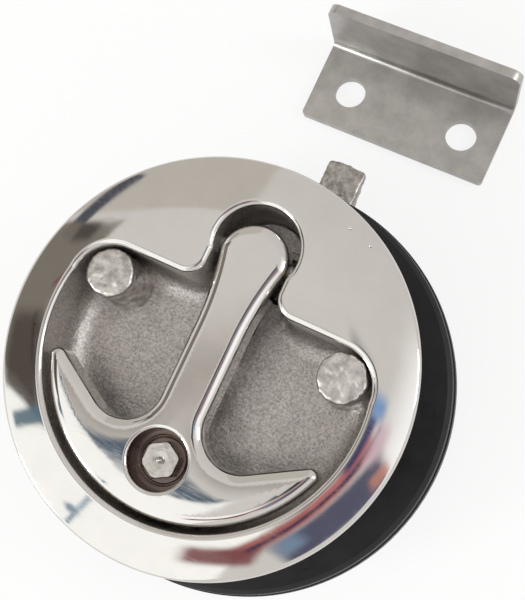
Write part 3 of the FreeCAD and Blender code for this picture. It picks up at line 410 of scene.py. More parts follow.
def copy_of(part, name, keep=None, plane=None):
    """A new piece from a CAD node's mesh, cut by a plane and with some faces left out."""
    mesh = bpy.data.meshes.new(name)
    with editing(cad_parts[part].data, mesh) as bm:
        bmesh.ops.remove_doubles(bm, verts=bm.verts, dist=1e-6)
        if plane:
            cut_off(bm, *plane)
        if keep:
            centres = np.array([f.calc_center_median() for f in bm.faces]) / MM
            kept = keep(centres, np.array([f.normal for f in bm.faces]))
            gone = [f for f, stays in zip(bm.faces, kept) if not stays]
            bmesh.ops.delete(bm, geom=gone, context="FACES")
    return by_angle(placed(name, mesh))


def rounded(obj, width, segments=2):
    """Weld a CAD node's facets and break its edges, as modifiers only."""
    weld = obj.modifiers.new("weld", "WELD")
    weld.merge_threshold = 1e-5
    bevel = obj.modifiers.new("broken edges", "BEVEL")
    bevel.width = width
    bevel.segments = segments
    bevel.limit_method = "ANGLE"
    bevel.angle_limit = math.radians(40)
    bevel.harden_normals = True
    return obj


def smooth_noise(points, size, seed):
    """Soft lumps of one size from summed waves, the same each run."""
    waves, evenness = 14, 1.4
    rng = np.random.default_rng(seed)
    total = np.zeros(len(points))
    for _ in range(waves):
        way = rng.normal(size=3)
        way *= TAU / (size * np.linalg.norm(way) * rng.uniform(0.7, 1.5))
        total += np.sin(points @ way + rng.uniform(0, TAU))
    return total / waves ** 0.5 / evenness


# Finishes


def linear(hex_colour):
    """An sRGB hex value as linear RGBA."""
    values = [int(hex_colour[i:i + 2], 16) / 255 for i in (1, 3, 5)]
    return [v / 12.92 if v <= 0.04045 else ((v + 0.055) / 1.055) ** 2.4 for v in values] + [1.0]


def shade(colour, factor):
    """A linear colour made lighter or darker."""
    return [min(1.0, c * factor) for c in colour[:3]] + [1.0]


def node(tree, kind, settings=None, **inputs):
    """A node with its settings; inputs are values or sockets, by name with _ for spaces or as i0, i1, i2."""
    made = tree.nodes.new(kind)
    for key, value in (settings or {}).items():
        setattr(made, key, value)
    for key, value in inputs.items():
        numbered = key[0] == "i" and key[1:].isdigit()
        socket = made.inputs[int(key[1:]) if numbered else key.replace("_", " ")]
        if isinstance(value, bpy.types.NodeSocket):
            tree.links.new(value, socket)
        else:
            socket.default_value = value
    return made


def maths(tree, operation, *values):
    """The result of an arithmetic node."""
    inputs = {"i%d" % number: value for number, value in enumerate(values)}
    return node(tree, "ShaderNodeMath", {"operation": operation}, **inputs).outputs[0]


def empty_tree(owner):
    """The cleared node tree of a material or world."""
    owner.use_nodes = True
    owner.node_tree.nodes.clear()
    return owner.node_tree


def finish(name, **fixed):
    """A new material with its shader, and where its object's coordinates come out."""
    material = bpy.data.materials.new(name)
    tree = empty_tree(material)
    shader = node(tree, "ShaderNodeBsdfPrincipled", **fixed)
    node(tree, "ShaderNodeOutputMaterial", Surface=shader.outputs[0])
    place = node(tree, "ShaderNodeTexCoord").outputs["Object"]
    return material, tree, shader, place


def dress_up(tree, shader, colour, roughness, normal):
    """Link a finish's colour, roughness and relief to its shader."""
    for name, value in (("Base Color", colour), ("Roughness", roughness), ("Normal", normal)):
        tree.links.new(value, shader.inputs[name])


def noise(tree, place, millimetres, detail=3.0, roughness=0.55):
    """Noise whose features are about this large."""
    return node(tree, "ShaderNodeTexNoise", Vector=place, Scale=1000.0 / millimetres, Detail=detail,
                Roughness=roughness).outputs[0]


def spread(tree, value, low, high, start=0.3, end=0.7):
    """A texture value between two others."""
    return node(tree, "ShaderNodeMapRange", Value=value, From_Min=start, From_Max=end, To_Min=low,
                To_Max=high).outputs[0]


def tint(tree, value, dark, light, start=0.3, end=0.7):
    """A texture value as a colour between two."""
    ramp = node(tree, "ShaderNodeValToRGB", Fac=value)
    ramp.color_ramp.elements[0].position = start
    ramp.color_ramp.elements[0].color = dark
    ramp.color_ramp.elements[1].position = end
    ramp.color_ramp.elements[1].color = light
    return ramp.outputs[0]


def shades(tree, value, colour, dark, light=1.0, start=0.3, end=0.7):
    """A texture value as a darker or lighter shade of one colour."""
    return tint(tree, value, shade(colour, dark), shade(colour, light), start, end)


def mapped(tree, place, **change):
    """Coordinates that are moved, turned or stretched."""
    return node(tree, "ShaderNodeMapping", Vector=place, **change).outputs[0]


def relief(tree, value, millimetres, strength=1.0, under=None):
    """Bump of a real depth, on top of another."""
    made = node(tree, "ShaderNodeBump", Strength=strength, Distance=millimetres * MM, Height=value)
    if under is not None:
        tree.links.new(under, made.inputs["Normal"])
    return made.outputs[0]


def mirror_polished_steel(colour):
    """Cast stainless steel, mirror polished: clear reflections, faint hand-polishing haze and waviness."""
    material, tree, shader, place = finish("mirror_polished_steel", Metallic=1.0)
    haze = noise(tree, place, 9.0, 4.0)
    # fine polishing scratches, drawn 0.4 mm apart so that they show
    along = mapped(tree, place, Rotation=(0, 0, 0.6), Scale=(0.08, 1.0, 1.0))
    scratches = noise(tree, along, 0.4, 2.0)
    mixed = maths(tree, "MULTIPLY", haze, scratches)
    dress_up(tree, shader, shades(tree, haze, colour, 0.95),
             spread(tree, mixed, 0.035, 0.10, 0.15, 0.40), relief(tree, noise(tree, place, 7.0, 1.0), 0.012))
    return material


def bead_blasted_steel(colour):
    """Cast stainless steel, bead blasted: an even satin grain of half a millimetre over soft lumps."""
    material, tree, shader, place = finish("bead_blasted_steel", Metallic=1.0)
    cloud = noise(tree, place, 9.0, 3.0)
    grain = noise(tree, place, 0.6, 3.0, 0.7)
    lumps = noise(tree, place, 2.2, 2.0)
    mixed = maths(tree, "MULTIPLY_ADD", grain, 0.85, maths(tree, "MULTIPLY", cloud, 0.15))
    dress_up(tree, shader, shades(tree, mixed, colour, 0.55, 1.15, 0.36, 0.62),
             spread(tree, cloud, 0.36, 0.50), relief(tree, grain, 0.16, 0.9, relief(tree, lumps, 0.22, 0.6)))
    return material


def rough_cast_steel(name, colour):
    """Stainless steel as it leaves the sand mould: lumpy, pitted, bright where it is rubbed."""
    material, tree, shader, place = finish(name, Metallic=1.0)
    lumps = noise(tree, place, 2.4, 4.0, 0.6)
    pits = node(tree, "ShaderNodeTexVoronoi", {"feature": "SMOOTH_F1"}, Vector=place,
                Scale=1000.0 / 1.1).outputs[0]
    dress_up(tree, shader, shades(tree, lumps, colour, 0.60, 1.12, 0.34, 0.60),
             spread(tree, lumps, 0.46, 0.30), relief(tree, pits, 0.10, 0.5, relief(tree, lumps, 0.22, 0.6)))
    return material


def turned_steel(name, colour):
    """Stainless bar, turned: fine rings round the post's axis, drawn 0.45 mm apart so that they show."""
    material, tree, shader, place = finish(name, Metallic=1.0)
    about_axis = mapped(tree, place, Location=(0, -LOCK_Y * MM, 0))
    rings = node(tree, "ShaderNodeTexWave", {"wave_type": "RINGS", "rings_direction": "Z"},
                 Vector=about_axis, Scale=1000.0 / 0.45 / 6.3, Distortion=0.4, Detail=1.0).outputs[1]
    worn = noise(tree, place, 1.6, 3.0)
    dress_up(tree, shader, shades(tree, worn, colour, 0.80, 1.08, 0.35, 0.65),
             spread(tree, worn, 0.20, 0.36), relief(tree, rings, 0.010, 0.6, relief(tree, worn, 0.02, 0.3)))
    return material


def satin_rolled_sheet(colour):
    """Rolled stainless sheet, satin ground: a fine grain along its length, with faint handling marks."""
    material, tree, shader, place = finish("satin_rolled_sheet", Metallic=1.0)
    grain = noise(tree, mapped(tree, place, Scale=(0.05, 1.0, 1.0)), 0.35, 3.0)
    clouds = noise(tree, place, 7.0, 4.0, 0.6)
    marks = noise(tree, place, 1.3, 5.0, 0.7)
    dress_up(tree, shader, shades(tree, clouds, colour, 0.84, 1.06, 0.35, 0.65),
             spread(tree, marks, 0.30, 0.44),
             relief(tree, grain, 0.012, 0.8, relief(tree, clouds, 0.05, 0.35)))
    return material


def milled_steel(colour):
    """Milled and drawn stainless parts inside: a soft cutter grain."""
    material, tree, shader, place = finish("milled_steel", Metallic=1.0)
    grain = noise(tree, mapped(tree, place, Scale=(1.0, 0.08, 1.0)), 0.5, 3.0)
    dress_up(tree, shader, shades(tree, grain, colour, 0.85, 1.05),
             spread(tree, noise(tree, place, 5.0), 0.26, 0.42), relief(tree, grain, 0.015, 0.7))
    return material


def drawn_spring_wire(colour):
    """Drawn spring steel: bright, with faint die lines."""
    material, tree, shader, place = finish("drawn_spring_wire", Metallic=1.0)
    lines = noise(tree, place, 0.5, 2.0)
    dress_up(tree, shader, shades(tree, lines, colour, 0.8), spread(tree, lines, 0.2, 0.34),
             relief(tree, lines, 0.008, 0.6))
    return material


def pressure_cast_alloy(colour):
    """Pressure-cast aluminium, as cast: a dull grey skin with flow marks."""
    material, tree, shader, place = finish("pressure_cast_alloy", Metallic=1.0)
    flow = noise(tree, place, 6.0, 5.0, 0.6)
    grain = noise(tree, place, 0.5, 2.0)
    dress_up(tree, shader, shades(tree, flow, colour, 0.78, 1.06),
             spread(tree, grain, 0.42, 0.58), relief(tree, grain, 0.03, 0.6))
    return material


def moulded_nylon(colour):
    """Glass-filled nylon, moulded: black with a weak sheen, a fine skin grain and faint flow streaks."""
    material, tree, shader, place = finish("moulded_nylon", Metallic=0.0, IOR=1.5, Specular_IOR_Level=0.32)
    grain = noise(tree, place, 0.5, 3.0, 0.6)
    flow = noise(tree, place, 11.0, 4.0, 0.6)
    dress_up(tree, shader, shades(tree, flow, colour, 0.75, 1.35),
             spread(tree, flow, 0.34, 0.50), relief(tree, grain, 0.02, 0.6, relief(tree, flow, 0.10, 0.25)))
    return material


def natural_acetal(colour):
    """Machined acetal: milky white and waxy."""
    material, tree, shader, place = finish("natural_acetal", Metallic=0.0, IOR=1.48)
    cloud = noise(tree, place, 2.0, 3.0)
    dress_up(tree, shader, shades(tree, cloud, colour, 0.92), spread(tree, cloud, 0.3, 0.42),
             relief(tree, noise(tree, place, 0.4), 0.01, 0.5))
    return material


def black_rubber(colour):
    """Moulded nitrile rubber: matt black with a dusty bloom."""
    material, tree, shader, place = finish("black_rubber", Metallic=0.0, IOR=1.52)
    bloom = noise(tree, place, 3.0, 4.0)
    dress_up(tree, shader, shades(tree, bloom, colour, 1.0, 1.8), spread(tree, bloom, 0.62, 0.8),
             relief(tree, noise(tree, place, 0.4), 0.02, 0.5))
    return material


FINISHES = {}


def make_finishes():
    """All finishes by name, once."""
    colours = bpy.context.scene.latch_colours
    FINISHES.update(
        polished_casting=mirror_polished_steel(linear(colours.polished)),
        blasted=bead_blasted_steel(linear(colours.blasted)),
        rough_casting=rough_cast_steel("rough_cast_steel", linear(colours.cast)),
        rubbed_casting=rough_cast_steel("rubbed_cast_steel", linear(colours.rubbed)),
        turned_steel=turned_steel("turned_steel", linear(colours.turned)),
        # painted shade: a darker, brownish copy of the turned steel for the deep parts round the post, where
        # they lie in shade
        greased_steel=turned_steel("painted_shade_turned_steel", linear(colours.greased)),
        satin_sheet=satin_rolled_sheet(linear(colours.satin)),
        machined_steel=milled_steel(linear(colours.milled)),
        spring_steel=drawn_spring_wire(linear(colours.wire)),
        grey_alloy=pressure_cast_alloy(linear(colours.alloy)),
        black_nylon=moulded_nylon(linear(colours.nylon)),
        white_plastic=natural_acetal(linear(colours.acetal)),
        rubber_seal=black_rubber(linear(colours.rubber)),
    )


def dress(obj, finish_name):
    """Give a piece or a CAD node one finish."""
    obj.data.materials.clear()
    obj.data.materials.append(FINISHES[finish_name])
    return obj


def settle(piece, finish_name, slot, body, *nodes):
    """Finish a new piece, let it ride on its body and stand for CAD nodes."""
    dress(piece, finish_name)
    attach(piece, body)
    if nodes:
        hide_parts(*nodes)
    return piece


# Operators, one for each piece or group of like pieces


def crown_profile(depth, width, power):
    """A rounding that starts upright at an outline and runs out flat, as drop and slope by distance."""
    step, upright = 0.004, -60.0

    def drop(distance):
        share = np.clip(1 - distance / width, 0, 1)
        return depth * (1 - (1 - share ** power) ** (1 / power))

    def both(distance):
        low = np.maximum(distance - step, 0)
        slope = (drop(distance + step) - drop(low)) / (distance + step - low)
        return drop(distance), np.where(distance < ON_LINE, upright, slope)
    return both


def fall_off(points, z, slope, border, profile, outward):
    """Heights and slopes lowered by a profile near an outline, whose normals are turned by outward."""
    distance, away = nearest(points, border)
    drop, steepness = profile(distance)
    at_border = distance < ON_LINE
    if at_border.any():
        index = [int(np.argmin(((border - p) ** 2).sum(1))) for p in points[at_border]]
        away[at_border] = (normals_of(border, 0) * outward)[index]
    return z - drop, slope - away * steepness[:, None]


def dome(points):
    """Height and slope of the flange's crown, flat in the middle and falling to its edge."""
    start, rim, top, edge = 34.06, 53.4, bpy.context.scene.latch_sizes.flange_height / MM, 1.6
    run_out, fall = rim - start, top - edge
    curve = (run_out * run_out + fall * fall) / (2 * fall)
    radius = np.linalg.norm(points, axis=1)
    past = np.clip(radius - start, 0, None)
    under = np.sqrt(curve * curve - past * past)
    steepness = -past / under
    return top - (curve - under), points / np.maximum(radius, ON_LINE)[:, None] * steepness[:, None]


class LATCH_OT_flange(bpy.types.Operator):
    """Polished flange face with its rounded lip, outer edge and two casting pits"""

    bl_idname = "latch.flange"
    bl_label = "Flange face"

    def execute(self, context):
        sizes = context.scene.latch_sizes
        outer = ring(0, 0, sizes.flange_radius / MM, 760)
        opening = opening_outline()
        lip = crown_profile(sizes.lip_round / MM, sizes.lip_round / MM * 1.15, 2.0)
        edge = crown_profile(sizes.edge_round / MM, sizes.edge_round / MM, 2.0)
        pits, pit_depth, pit_width = ((19.6, 45.4), (26.2, 43.3)), 0.34, 0.24

        def height(points):
            z, slope = dome(points)
            z, slope = fall_off(points, z, slope, opening, lip, 1)
            z, slope = fall_off(points, z, slope, outer, edge, -1)
            for pit in pits:
                offset = points - pit
                dip = pit_depth * np.exp(-(np.linalg.norm(offset, axis=1) / pit_width) ** 2)
                z = z - dip
                slope = slope + offset * (2 * dip / pit_width ** 2)[:, None]
            return z, slope

        rows = (0.05, 0.13, 0.25, 0.4, 0.6, 0.85, 1.15, 1.6, 2.3)
        round_pits = [ring(x, y, radius, count) for x, y in pits
                      for radius, count in ((0.01, 3), (0.12, 8), (0.25, 12), (0.4, 14), (0.6, 16))]
        points, faces, normals, borders = face_sheet(outer, [opening], rows, 1.1, height, round_pits)
        points, faces, normals = hang_wall(points, faces, normals, borders[:len(outer)], 0.0)
        face = new_piece("flange_face", points, faces, normals)
        settle(face, "polished_casting", "polished_casting", "root", "flange_cup")
        return {"FINISHED"}


def in_keeper(point, low, high):
    """Whether a point lies in the slot that the lock's tongue turns into."""
    return (math.hypot(point[0], point[1] - LOCK_Y) < KEEPER_REACH and point[1] < KEEPER_NEAR
            and low < point[2] < high)


class LATCH_OT_cup(bpy.types.Operator):
    """Bead-blasted cup with its round bowl and floor slot"""

    bl_idname = "latch.cup"
    bl_label = "Cup"

    def execute(self, context):
        sizes = context.scene.latch_sizes
        loop = opening_outline()
        count = len(loop)
        rows = self.wall_and_bowl(loop, sizes.lip_round / MM, sizes.bowl_round / MM)
        points = np.vstack(rows)
        faces = quads(len(rows), count)
        waver, waver_size, calm_above = 0.10, 6.0, -3
        points[:, :2] += waver * (points[:, 2] < calm_above)[:, None] * np.column_stack([
            smooth_noise(points, waver_size, 3), smooth_noise(points, waver_size, 4)])
        border = points[-count:, :2].copy()
        # the lever swings in the narrow part, and the head's hollow is wider
        corners = ((-4.8, 12), (4.8, 12), (4.8, 22), (9, 22), (9, 35.2), (-9, 35.2), (-9, 22), (-4.8, 22))
        slot = np.vstack([run(start, end) for start, end in zip(corners, corners[1:] + corners[:1])])
        lump_size, lump_height, flat_edge, room = 7.0, 0.14, 2, 0.8

        def height(flat):
            distance = np.minimum(nearest(flat, border)[0], nearest(flat, slot)[0])
            lumps = smooth_noise(np.column_stack([flat, flat[:, 0] * 0]), lump_size, 5) * lump_height
            return CUP_FLOOR + lumps * np.clip(distance / flat_edge, 0, 1), np.zeros_like(flat)

        sheet, tris, normals, borders = face_sheet(border, [slot], (0.5, 1.0), 1.2, height)
        sheet, tris, normals = hang_wall(sheet, tris, normals, borders[count:], FLOOR_UNDER, flip=True)
        faces += [tuple(int(i) + len(points) for i in tri) for tri in tris]
        cup = new_piece("cup_inside", np.vstack([points, sheet]), faces)
        # the keeper slot, which the lock's tongue turns into
        low, high = side("lock_cam", 2, False) / MM - room, side("lock_cam", 2) / MM + room
        with editing(cup.data) as bm:
            bmesh.ops.remove_doubles(bm, verts=bm.verts, dist=2e-6)
            bmesh.ops.recalc_face_normals(bm, faces=bm.faces)
            gone = [f for f in bm.faces if in_keeper(f.calc_center_median() / MM, low, high)]
            bmesh.ops.delete(bm, geom=gone, context="FACES")
        by_angle(cup, 45)
        settle(cup, "blasted", "polished_casting", "root", "flange_cup")
        return {"FINISHED"}

    def wall_and_bowl(self, loop, lip, bowl_round):
        """Rows of points down the wall and round into the floor, tight at the keyhole's neck."""
        neck_start, neck_run, neck_reach, neck_round = 17.0, 6.0, 17.0, 0.9
        wall_rows, bowl_rows, smoothings = 14, 12, 12
        into = -normals_of(loop, 6)
        top = dome(loop)[0] - lip
        neck = np.clip((loop[:, 1] - neck_start) / neck_run, 0, 1)
        neck = np.where(np.abs(loop[:, 0]) < neck_reach, neck, 0)
        bowl = bowl_round * (1 - neck) + neck_round * neck
        for _ in range(smoothings):
            bowl = (np.roll(bowl, 1) + bowl + np.roll(bowl, -1)) / 3
        foot = CUP_FLOOR + bowl
        rows = [np.column_stack([loop, top + (foot - top) * share]) for share in np.linspace(0, 1, wall_rows)]
        for angle in np.linspace(0, math.pi / 2, bowl_rows)[1:]:
            line = loop + into * (bowl * (1 - math.cos(angle)))[:, None]
            rows.append(np.column_stack([line, CUP_FLOOR + bowl * (1 - math.sin(angle))]))
        return rows


class LATCH_OT_bosses(bpy.types.Operator):
    """Two rough-cast bosses beside the stem"""

    bl_idname = "latch.bosses"
    bl_label = "Cast bosses"

    def execute(self, context):
        radius, top, y, count = 6.5, 1.8, 10.6, 120
        edge, foot, shoulder, swell, swell_run = 1.1, -16.6, 0.7, 0.5, 1.2
        flat, middle, crown = 5.2, 0.2, 0.12
        profile = [(radius + swell * math.exp(-(z - CUP_FLOOR) / swell_run), z)
                   for z in np.linspace(foot, shoulder, 40)]
        profile += [(radius - edge + edge * math.cos(a), top - edge + edge * math.sin(a))
                    for a in np.linspace(0.1, math.pi / 2, 8)]
        profile += [(r, top + crown * (1 - (r / (radius - edge)) ** 2))
                    for r in np.linspace(flat, middle, 18)]
        lump_height = context.scene.latch_sizes.cast_relief / MM * 0.8

        def skin(points, seed):
            """Lumps, on top rubbed flatter than on the side."""
            lumps = smooth_noise(points, 3.6, seed) + 0.4 * smooth_noise(points, 1.5, seed + 20)
            return lumps * lump_height * np.where(points[:, 2] > top - 0.3, 0.45, 0.8)

        for name, x, seed in (("boss_right", 33.2, 11), ("boss_left", -33.2, 12)):
            boss = lathe(name, profile, count, x, y)
            push_out(boss.data, lambda points: skin(points, seed))
            cap(boss, count)
            settle(boss, "rubbed_casting", "polished_casting", "root", "flange_cup")
        return {"FINISHED"}


class LATCH_OT_barrel(bpy.types.Operator):
    """Threaded barrel and the casting behind the cup"""

    bl_idname = "latch.barrel"
    bl_label = "Barrel"

    def execute(self, context):
        crest, root, pitch = 47.3, 46.45, context.scene.latch_sizes.thread_pitch / MM
        steepness, crest_width, count, step = 4, 0.6, 240, 0.25
        start, start_run, end_run = 7.0, 2.0, 1.5
        angles = TAU * np.arange(count) / count
        profile = []
        for z in np.arange(0.0, BARREL_FOOT - 0.01, -step):
            phase = (z / pitch + angles / TAU) % 1.0
            groove = np.clip(np.abs(phase - 0.5) * steepness - crest_width, 0, 1)
            ends = np.clip((-z - start) / start_run, 0, 1) * np.clip((z - BARREL_FOOT - 0.5) / end_run, 0, 1)
            profile.append((crest - (crest - root) * groove * ends, z))
        barrel = lathe("barrel_thread", profile, count, flip=True)
        by_angle(barrel, 40)
        settle(barrel, "machined_steel", "polished_casting", "root", "flange_cup")
        opening = opening_outline()
        skin, wall_radius, upright, near_wall = 0.05, 47.0, 0.5, 0.3

        def keep(centres, normals):
            """Faces of the casting that no dressed piece stands for."""
            flat, z = centres[:, :2], centres[:, 2]
            above_floor = z > CUP_FLOOR - skin
            stem_rest = (np.abs(flat) < SEAT_REACH).all(1) & above_floor
            crown = (z > 0.02) & (normals[:, 2] > -upright)
            wall = (np.linalg.norm(flat, axis=1) > wall_radius) & (z < -skin)
            wall &= np.abs(normals[:, 2]) < upright
            cup = above_floor & (inside(flat, opening) | (nearest(flat, opening)[0] < near_wall))
            keeper = np.array([in_keeper(centre, CUP_FLOOR + 0.1, -5.0) for centre in centres])
            return stem_rest | keeper | ~(crown | wall | cup)

        body = copy_of("flange_cup", "barrel_casting", keep)
        settle(body, "rough_casting", "polished_casting", "root", "flange_cup")
        return {"FINISHED"}


class LATCH_OT_handle(bpy.types.Operator):
    """Mirror-polished anchor handle with rounded edges"""

    bl_idname = "latch.handle"
    bl_label = "T-handle"

    def execute(self, context):
        sizes = context.scene.latch_sizes
        outline = handle_outline()
        hole = ring(0, LOCK_Y, LOCK_HOLE, 150)
        edge = crown_profile(sizes.handle_edge / MM, 3.0, 2.2)
        crown = crown_profile(0.4, 7.0, 2.0)
        rim = crown_profile(0.55, 0.8, 2.0)

        def height(points):
            z, slope = np.full(len(points), sizes.handle_top / MM), np.zeros((len(points), 2))
            for border, profile, outward in ((outline, edge, -1), (outline, crown, -1), (hole, rim, 1)):
                z, slope = fall_off(points, z, slope, border, profile, outward)
            return z, slope

        rows = (0.04, 0.12, 0.25, 0.42, 0.65, 0.95, 1.35, 1.9, 2.6)
        points, faces, normals, borders = face_sheet(outline, [hole], rows, 0.8, height)
        count = len(outline)
        points, faces, normals = hang_wall(points, faces, normals, borders[:count], 0.0)
        points, faces, normals = hang_wall(points, faces, normals, borders[count:], 0.0, flip=True)
        face = new_piece("handle_face", points, faces, normals)
        settle(face, "polished_casting", "polished_casting", "handle", "handle")
        body = copy_of("handle", "handle_body", plane=((0, 0, 0), (0, 0, 1)))
        settle(body, "polished_casting", "polished_casting", "handle", "handle")
        return {"FINISHED"}


class LATCH_OT_lock(bpy.types.Operator):
    """Hexagon lock post with its turned shoulder, centre mark and bore"""

    bl_idname = "latch.lock"
    bl_label = "Lock post"

    def execute(self, context):
        count, shaft_top = 96, -6.3
        profile = [(6.5, -6.4), (6.5, -4.75), (6.42, -4.55), (5.85, -4.0), (5.7, -3.96), (5.3, -3.96),
                   (2.0, -3.96)]
        shoulder = lathe("lock_shoulder", profile, count, 0, LOCK_Y)
        by_angle(shoulder, 30)
        # painted shade: the shoulder deep in the bore takes the darker steel that stands for the shade there
        settle(shoulder, "greased_steel", "turned_steel", "lock", "lock_spindle")
        bore = lathe("lock_bore", [(7.86, 1.9), (7.86, -3.9), (6.7, -3.95), (6.7, -5.4)], count, 0, LOCK_Y)
        by_angle(bore, 30)
        # painted shade: the bore's wall takes the same darker steel for the shade deep in it
        settle(bore, "greased_steel", "polished_casting", "handle", "handle")
        post = cap(lathe("lock_post", self.hexagon(count), count, 0, LOCK_Y), count)
        by_angle(post, 22)
        settle(post, "turned_steel", "turned_steel", "lock", "lock_spindle")
        shaft = copy_of("lock_spindle", "lock_shaft", plane=((0, 0, shaft_top * MM), (0, 0, 1)))
        settle(shaft, "turned_steel", "turned_steel", "lock", "lock_spindle")
        return {"FINISHED"}

    def hexagon(self, count):
        """Profile up the hexagon's flats, over its chamfered corners and into the centre mark."""
        half, foot, top, chamfer = 4.45, -4.0, -0.5, 0.5
        corner, flat_drop, corner_drop, turn = half * 1.155, 0.2, 0.5, math.pi / 3
        angles = TAU * np.arange(count) / count
        flats = half / np.cos((angles + turn / 2) % turn - turn / 2)
        profile = [(flats, foot)]
        for share in np.linspace(0, 1, 7):
            radius = np.minimum(flats - share * flat_drop, corner - share * corner_drop)
            profile.append((radius, top - chamfer + chamfer * share))
        return profile + [(half - 0.3, top), (2.6, top), (1.05, top), (0.9, top - 0.06), (0.2, top - 0.75)]


class LATCH_OT_clamp_ring(bpy.types.Operator):
    """Moulded clamp ring with its ejector marks"""

    bl_idname = "latch.clamp_ring"
    bl_label = "Clamp ring"

    def execute(self, context):
        rounded(dress(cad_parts["clamp_ring"], "black_nylon"), context.scene.latch_sizes.bevel)
        front = side("clamp_ring", 2) / MM
        marks, first, place, count = 6, math.radians(15), 56.6, 48
        profile = [(2.2, front - 0.02), (2.1, front + 0.10), (1.85, front + 0.11), (1.75, front + 0.015),
                   (0.1, front + 0.015)]
        for number in range(marks):
            angle = first + TAU * number / marks
            name = "ejector_mark_%d" % number
            mark = lathe(name, profile, count, place * math.cos(angle), place * math.sin(angle))
            by_angle(cap(mark, count), 30)
            settle(mark, "black_nylon", "black_nylon", "clamp_ring")
        return {"FINISHED"}


class LATCH_OT_bolt(bpy.types.Operator):
    """Rough-cast slam bolt: its plain shank in the housing and its cast end"""

    bl_idname = "latch.bolt"
    bl_label = "Bolt"

    def execute(self, context):
        seam, fade = 44.0, 5.0
        voxel, lump_share, sink = 0.4, 0.55, 0.08
        shank = copy_of("bolt", "bolt_shank", plane=((0, seam * MM, 0), (0, 1, 0)))
        settle(shank, "rough_casting", "rough_casting", "bolt", "bolt")
        bolt = copy_of("bolt", "cast_bolt")
        remesh = bolt.modifiers.new("skin", "REMESH")
        remesh.mode = "VOXEL"
        remesh.voxel_size = voxel * MM
        relax = bolt.modifiers.new("relax", "SMOOTH")
        relax.factor = 0.5
        relax.iterations = 3
        evaluated = bolt.evaluated_get(context.evaluated_depsgraph_get())
        mesh = bpy.data.meshes.new_from_object(evaluated)
        bolt.modifiers.clear()
        bolt.data = mesh
        lump_height = context.scene.latch_sizes.cast_relief / MM * lump_share

        def skin(points):
            lumps = smooth_noise(points, 4.2, 31) + 0.55 * smooth_noise(points, 1.7, 32)
            return (lumps * lump_height - sink) * np.clip((points[:, 1] - seam) / fade, 0, 1)

        push_out(mesh, skin)
        with editing(mesh) as bm:
            cut_off(bm, (0, seam * MM, 0), (0, -1, 0))
        mesh.shade_smooth()
        settle(bolt, "rough_casting", "rough_casting", "bolt", "bolt")
        return {"FINISHED"}


class LATCH_OT_strike(bpy.types.Operator):
    """Folded strike plate of satin sheet"""

    bl_idname = "latch.strike"
    bl_label = "Strike"

    def execute(self, context):
        bevel = context.scene.latch_sizes.bevel * 1.4
        rounded(dress(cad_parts["strike_plate"], "satin_sheet"), bevel, 3)
        return {"FINISHED"}


class LATCH_OT_springs(bpy.types.Operator):
    """Coil springs for the yoke and the bolt"""

    bl_idname = "latch.springs"
    bl_label = "Springs"

    def execute(self, context):
        wire = 1.0 * MM
        start, end, z = self.span("yoke_springs", wire)
        radius = 4.2 * MM
        for name, x in (("return_spring_right", side("yoke_springs", 0) - radius),
                        ("return_spring_left", side("yoke_springs", 0, False) + radius)):
            self.coil(name, x, z, (start, end), radius - wire / 2, wire, 10, ("root", "yoke"), "yoke_springs")
        # the bolt's spring stands on the housing and ends in the bolt, so its halves meet at the yoke's place
        start, end, z = self.span("bolt_spring", wire)
        middle, radius = (start + end) / 2, 4.0 * MM
        for name, ends, bodies, phase in (
                ("bolt_spring_seat_half", (start, middle), ("root", "yoke"), 0.0),
                ("bolt_spring_far_half", (middle, end), ("yoke", "bolt"), math.pi)):
            self.coil(name, 0.0, z, ends, radius - wire / 2, wire, 5.5, bodies, "bolt_spring", phase)
        return {"FINISHED"}

    def span(self, part, wire):
        """Where a spring's axis starts and ends along Y, and its height."""
        low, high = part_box(part)
        return low.y + wire / 2, high.y - wire / 2, (low.z + high.z) / 2

    def coil(self, name, x, z, ends, radius, wire, turns, bodies, stood_for, phase=0.0):
        """One coil along Y between two ends."""
        around, per_turn = 10, 28
        total = int(turns * per_turn)
        points = []
        for i in range(total + 1):
            angle = phase + TAU * i / per_turn
            y = ends[0] + (ends[1] - ends[0]) * i / total
            out = np.array([math.cos(angle), 0, math.sin(angle)])
            for k in range(around):
                turn = TAU * k / around
                points.append(np.array([x, y, z]) + out * (radius + wire / 2 * math.cos(turn))
                              + np.array([0, wire / 2 * math.sin(turn), 0]))
        faces = quads(total + 1, around)
        faces.append(tuple(range(around))[::-1])
        faces.append(tuple(range(total * around, (total + 1) * around)))
        spring = new_piece(name, points, faces, scale=1.0)
        dress(spring, "spring_steel")
        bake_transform(spring)
        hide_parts(stood_for)


class LATCH_OT_mechanism(bpy.types.Operator):
    """Finishes of the parts behind the cup"""

    bl_idname = "latch.mechanism"
    bl_label = "Mechanism"

    def execute(self, context):
        bevel = context.scene.latch_sizes.bevel
        for name, finish_name in (
                ("handle_pin", "machined_steel"), ("lock_oring", "rubber_seal"),
                ("lock_cam", "machined_steel"), ("lock_clip", "spring_steel"),
                ("flange_gasket", "rubber_seal"), ("mechanism_frame", "machined_steel"),
                ("guide_rods", "machined_steel"),
                ("yoke", "machined_steel"), ("yoke_bushes", "white_plastic"),
                ("bolt_spring_pin", "machined_steel"), ("guide_plate", "grey_alloy"),
                ("bolt_housing", "grey_alloy"), ("rear_cover", "grey_alloy")):
            rounded(dress(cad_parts[name], finish_name), bevel * 0.8)
        return {"FINISHED"}


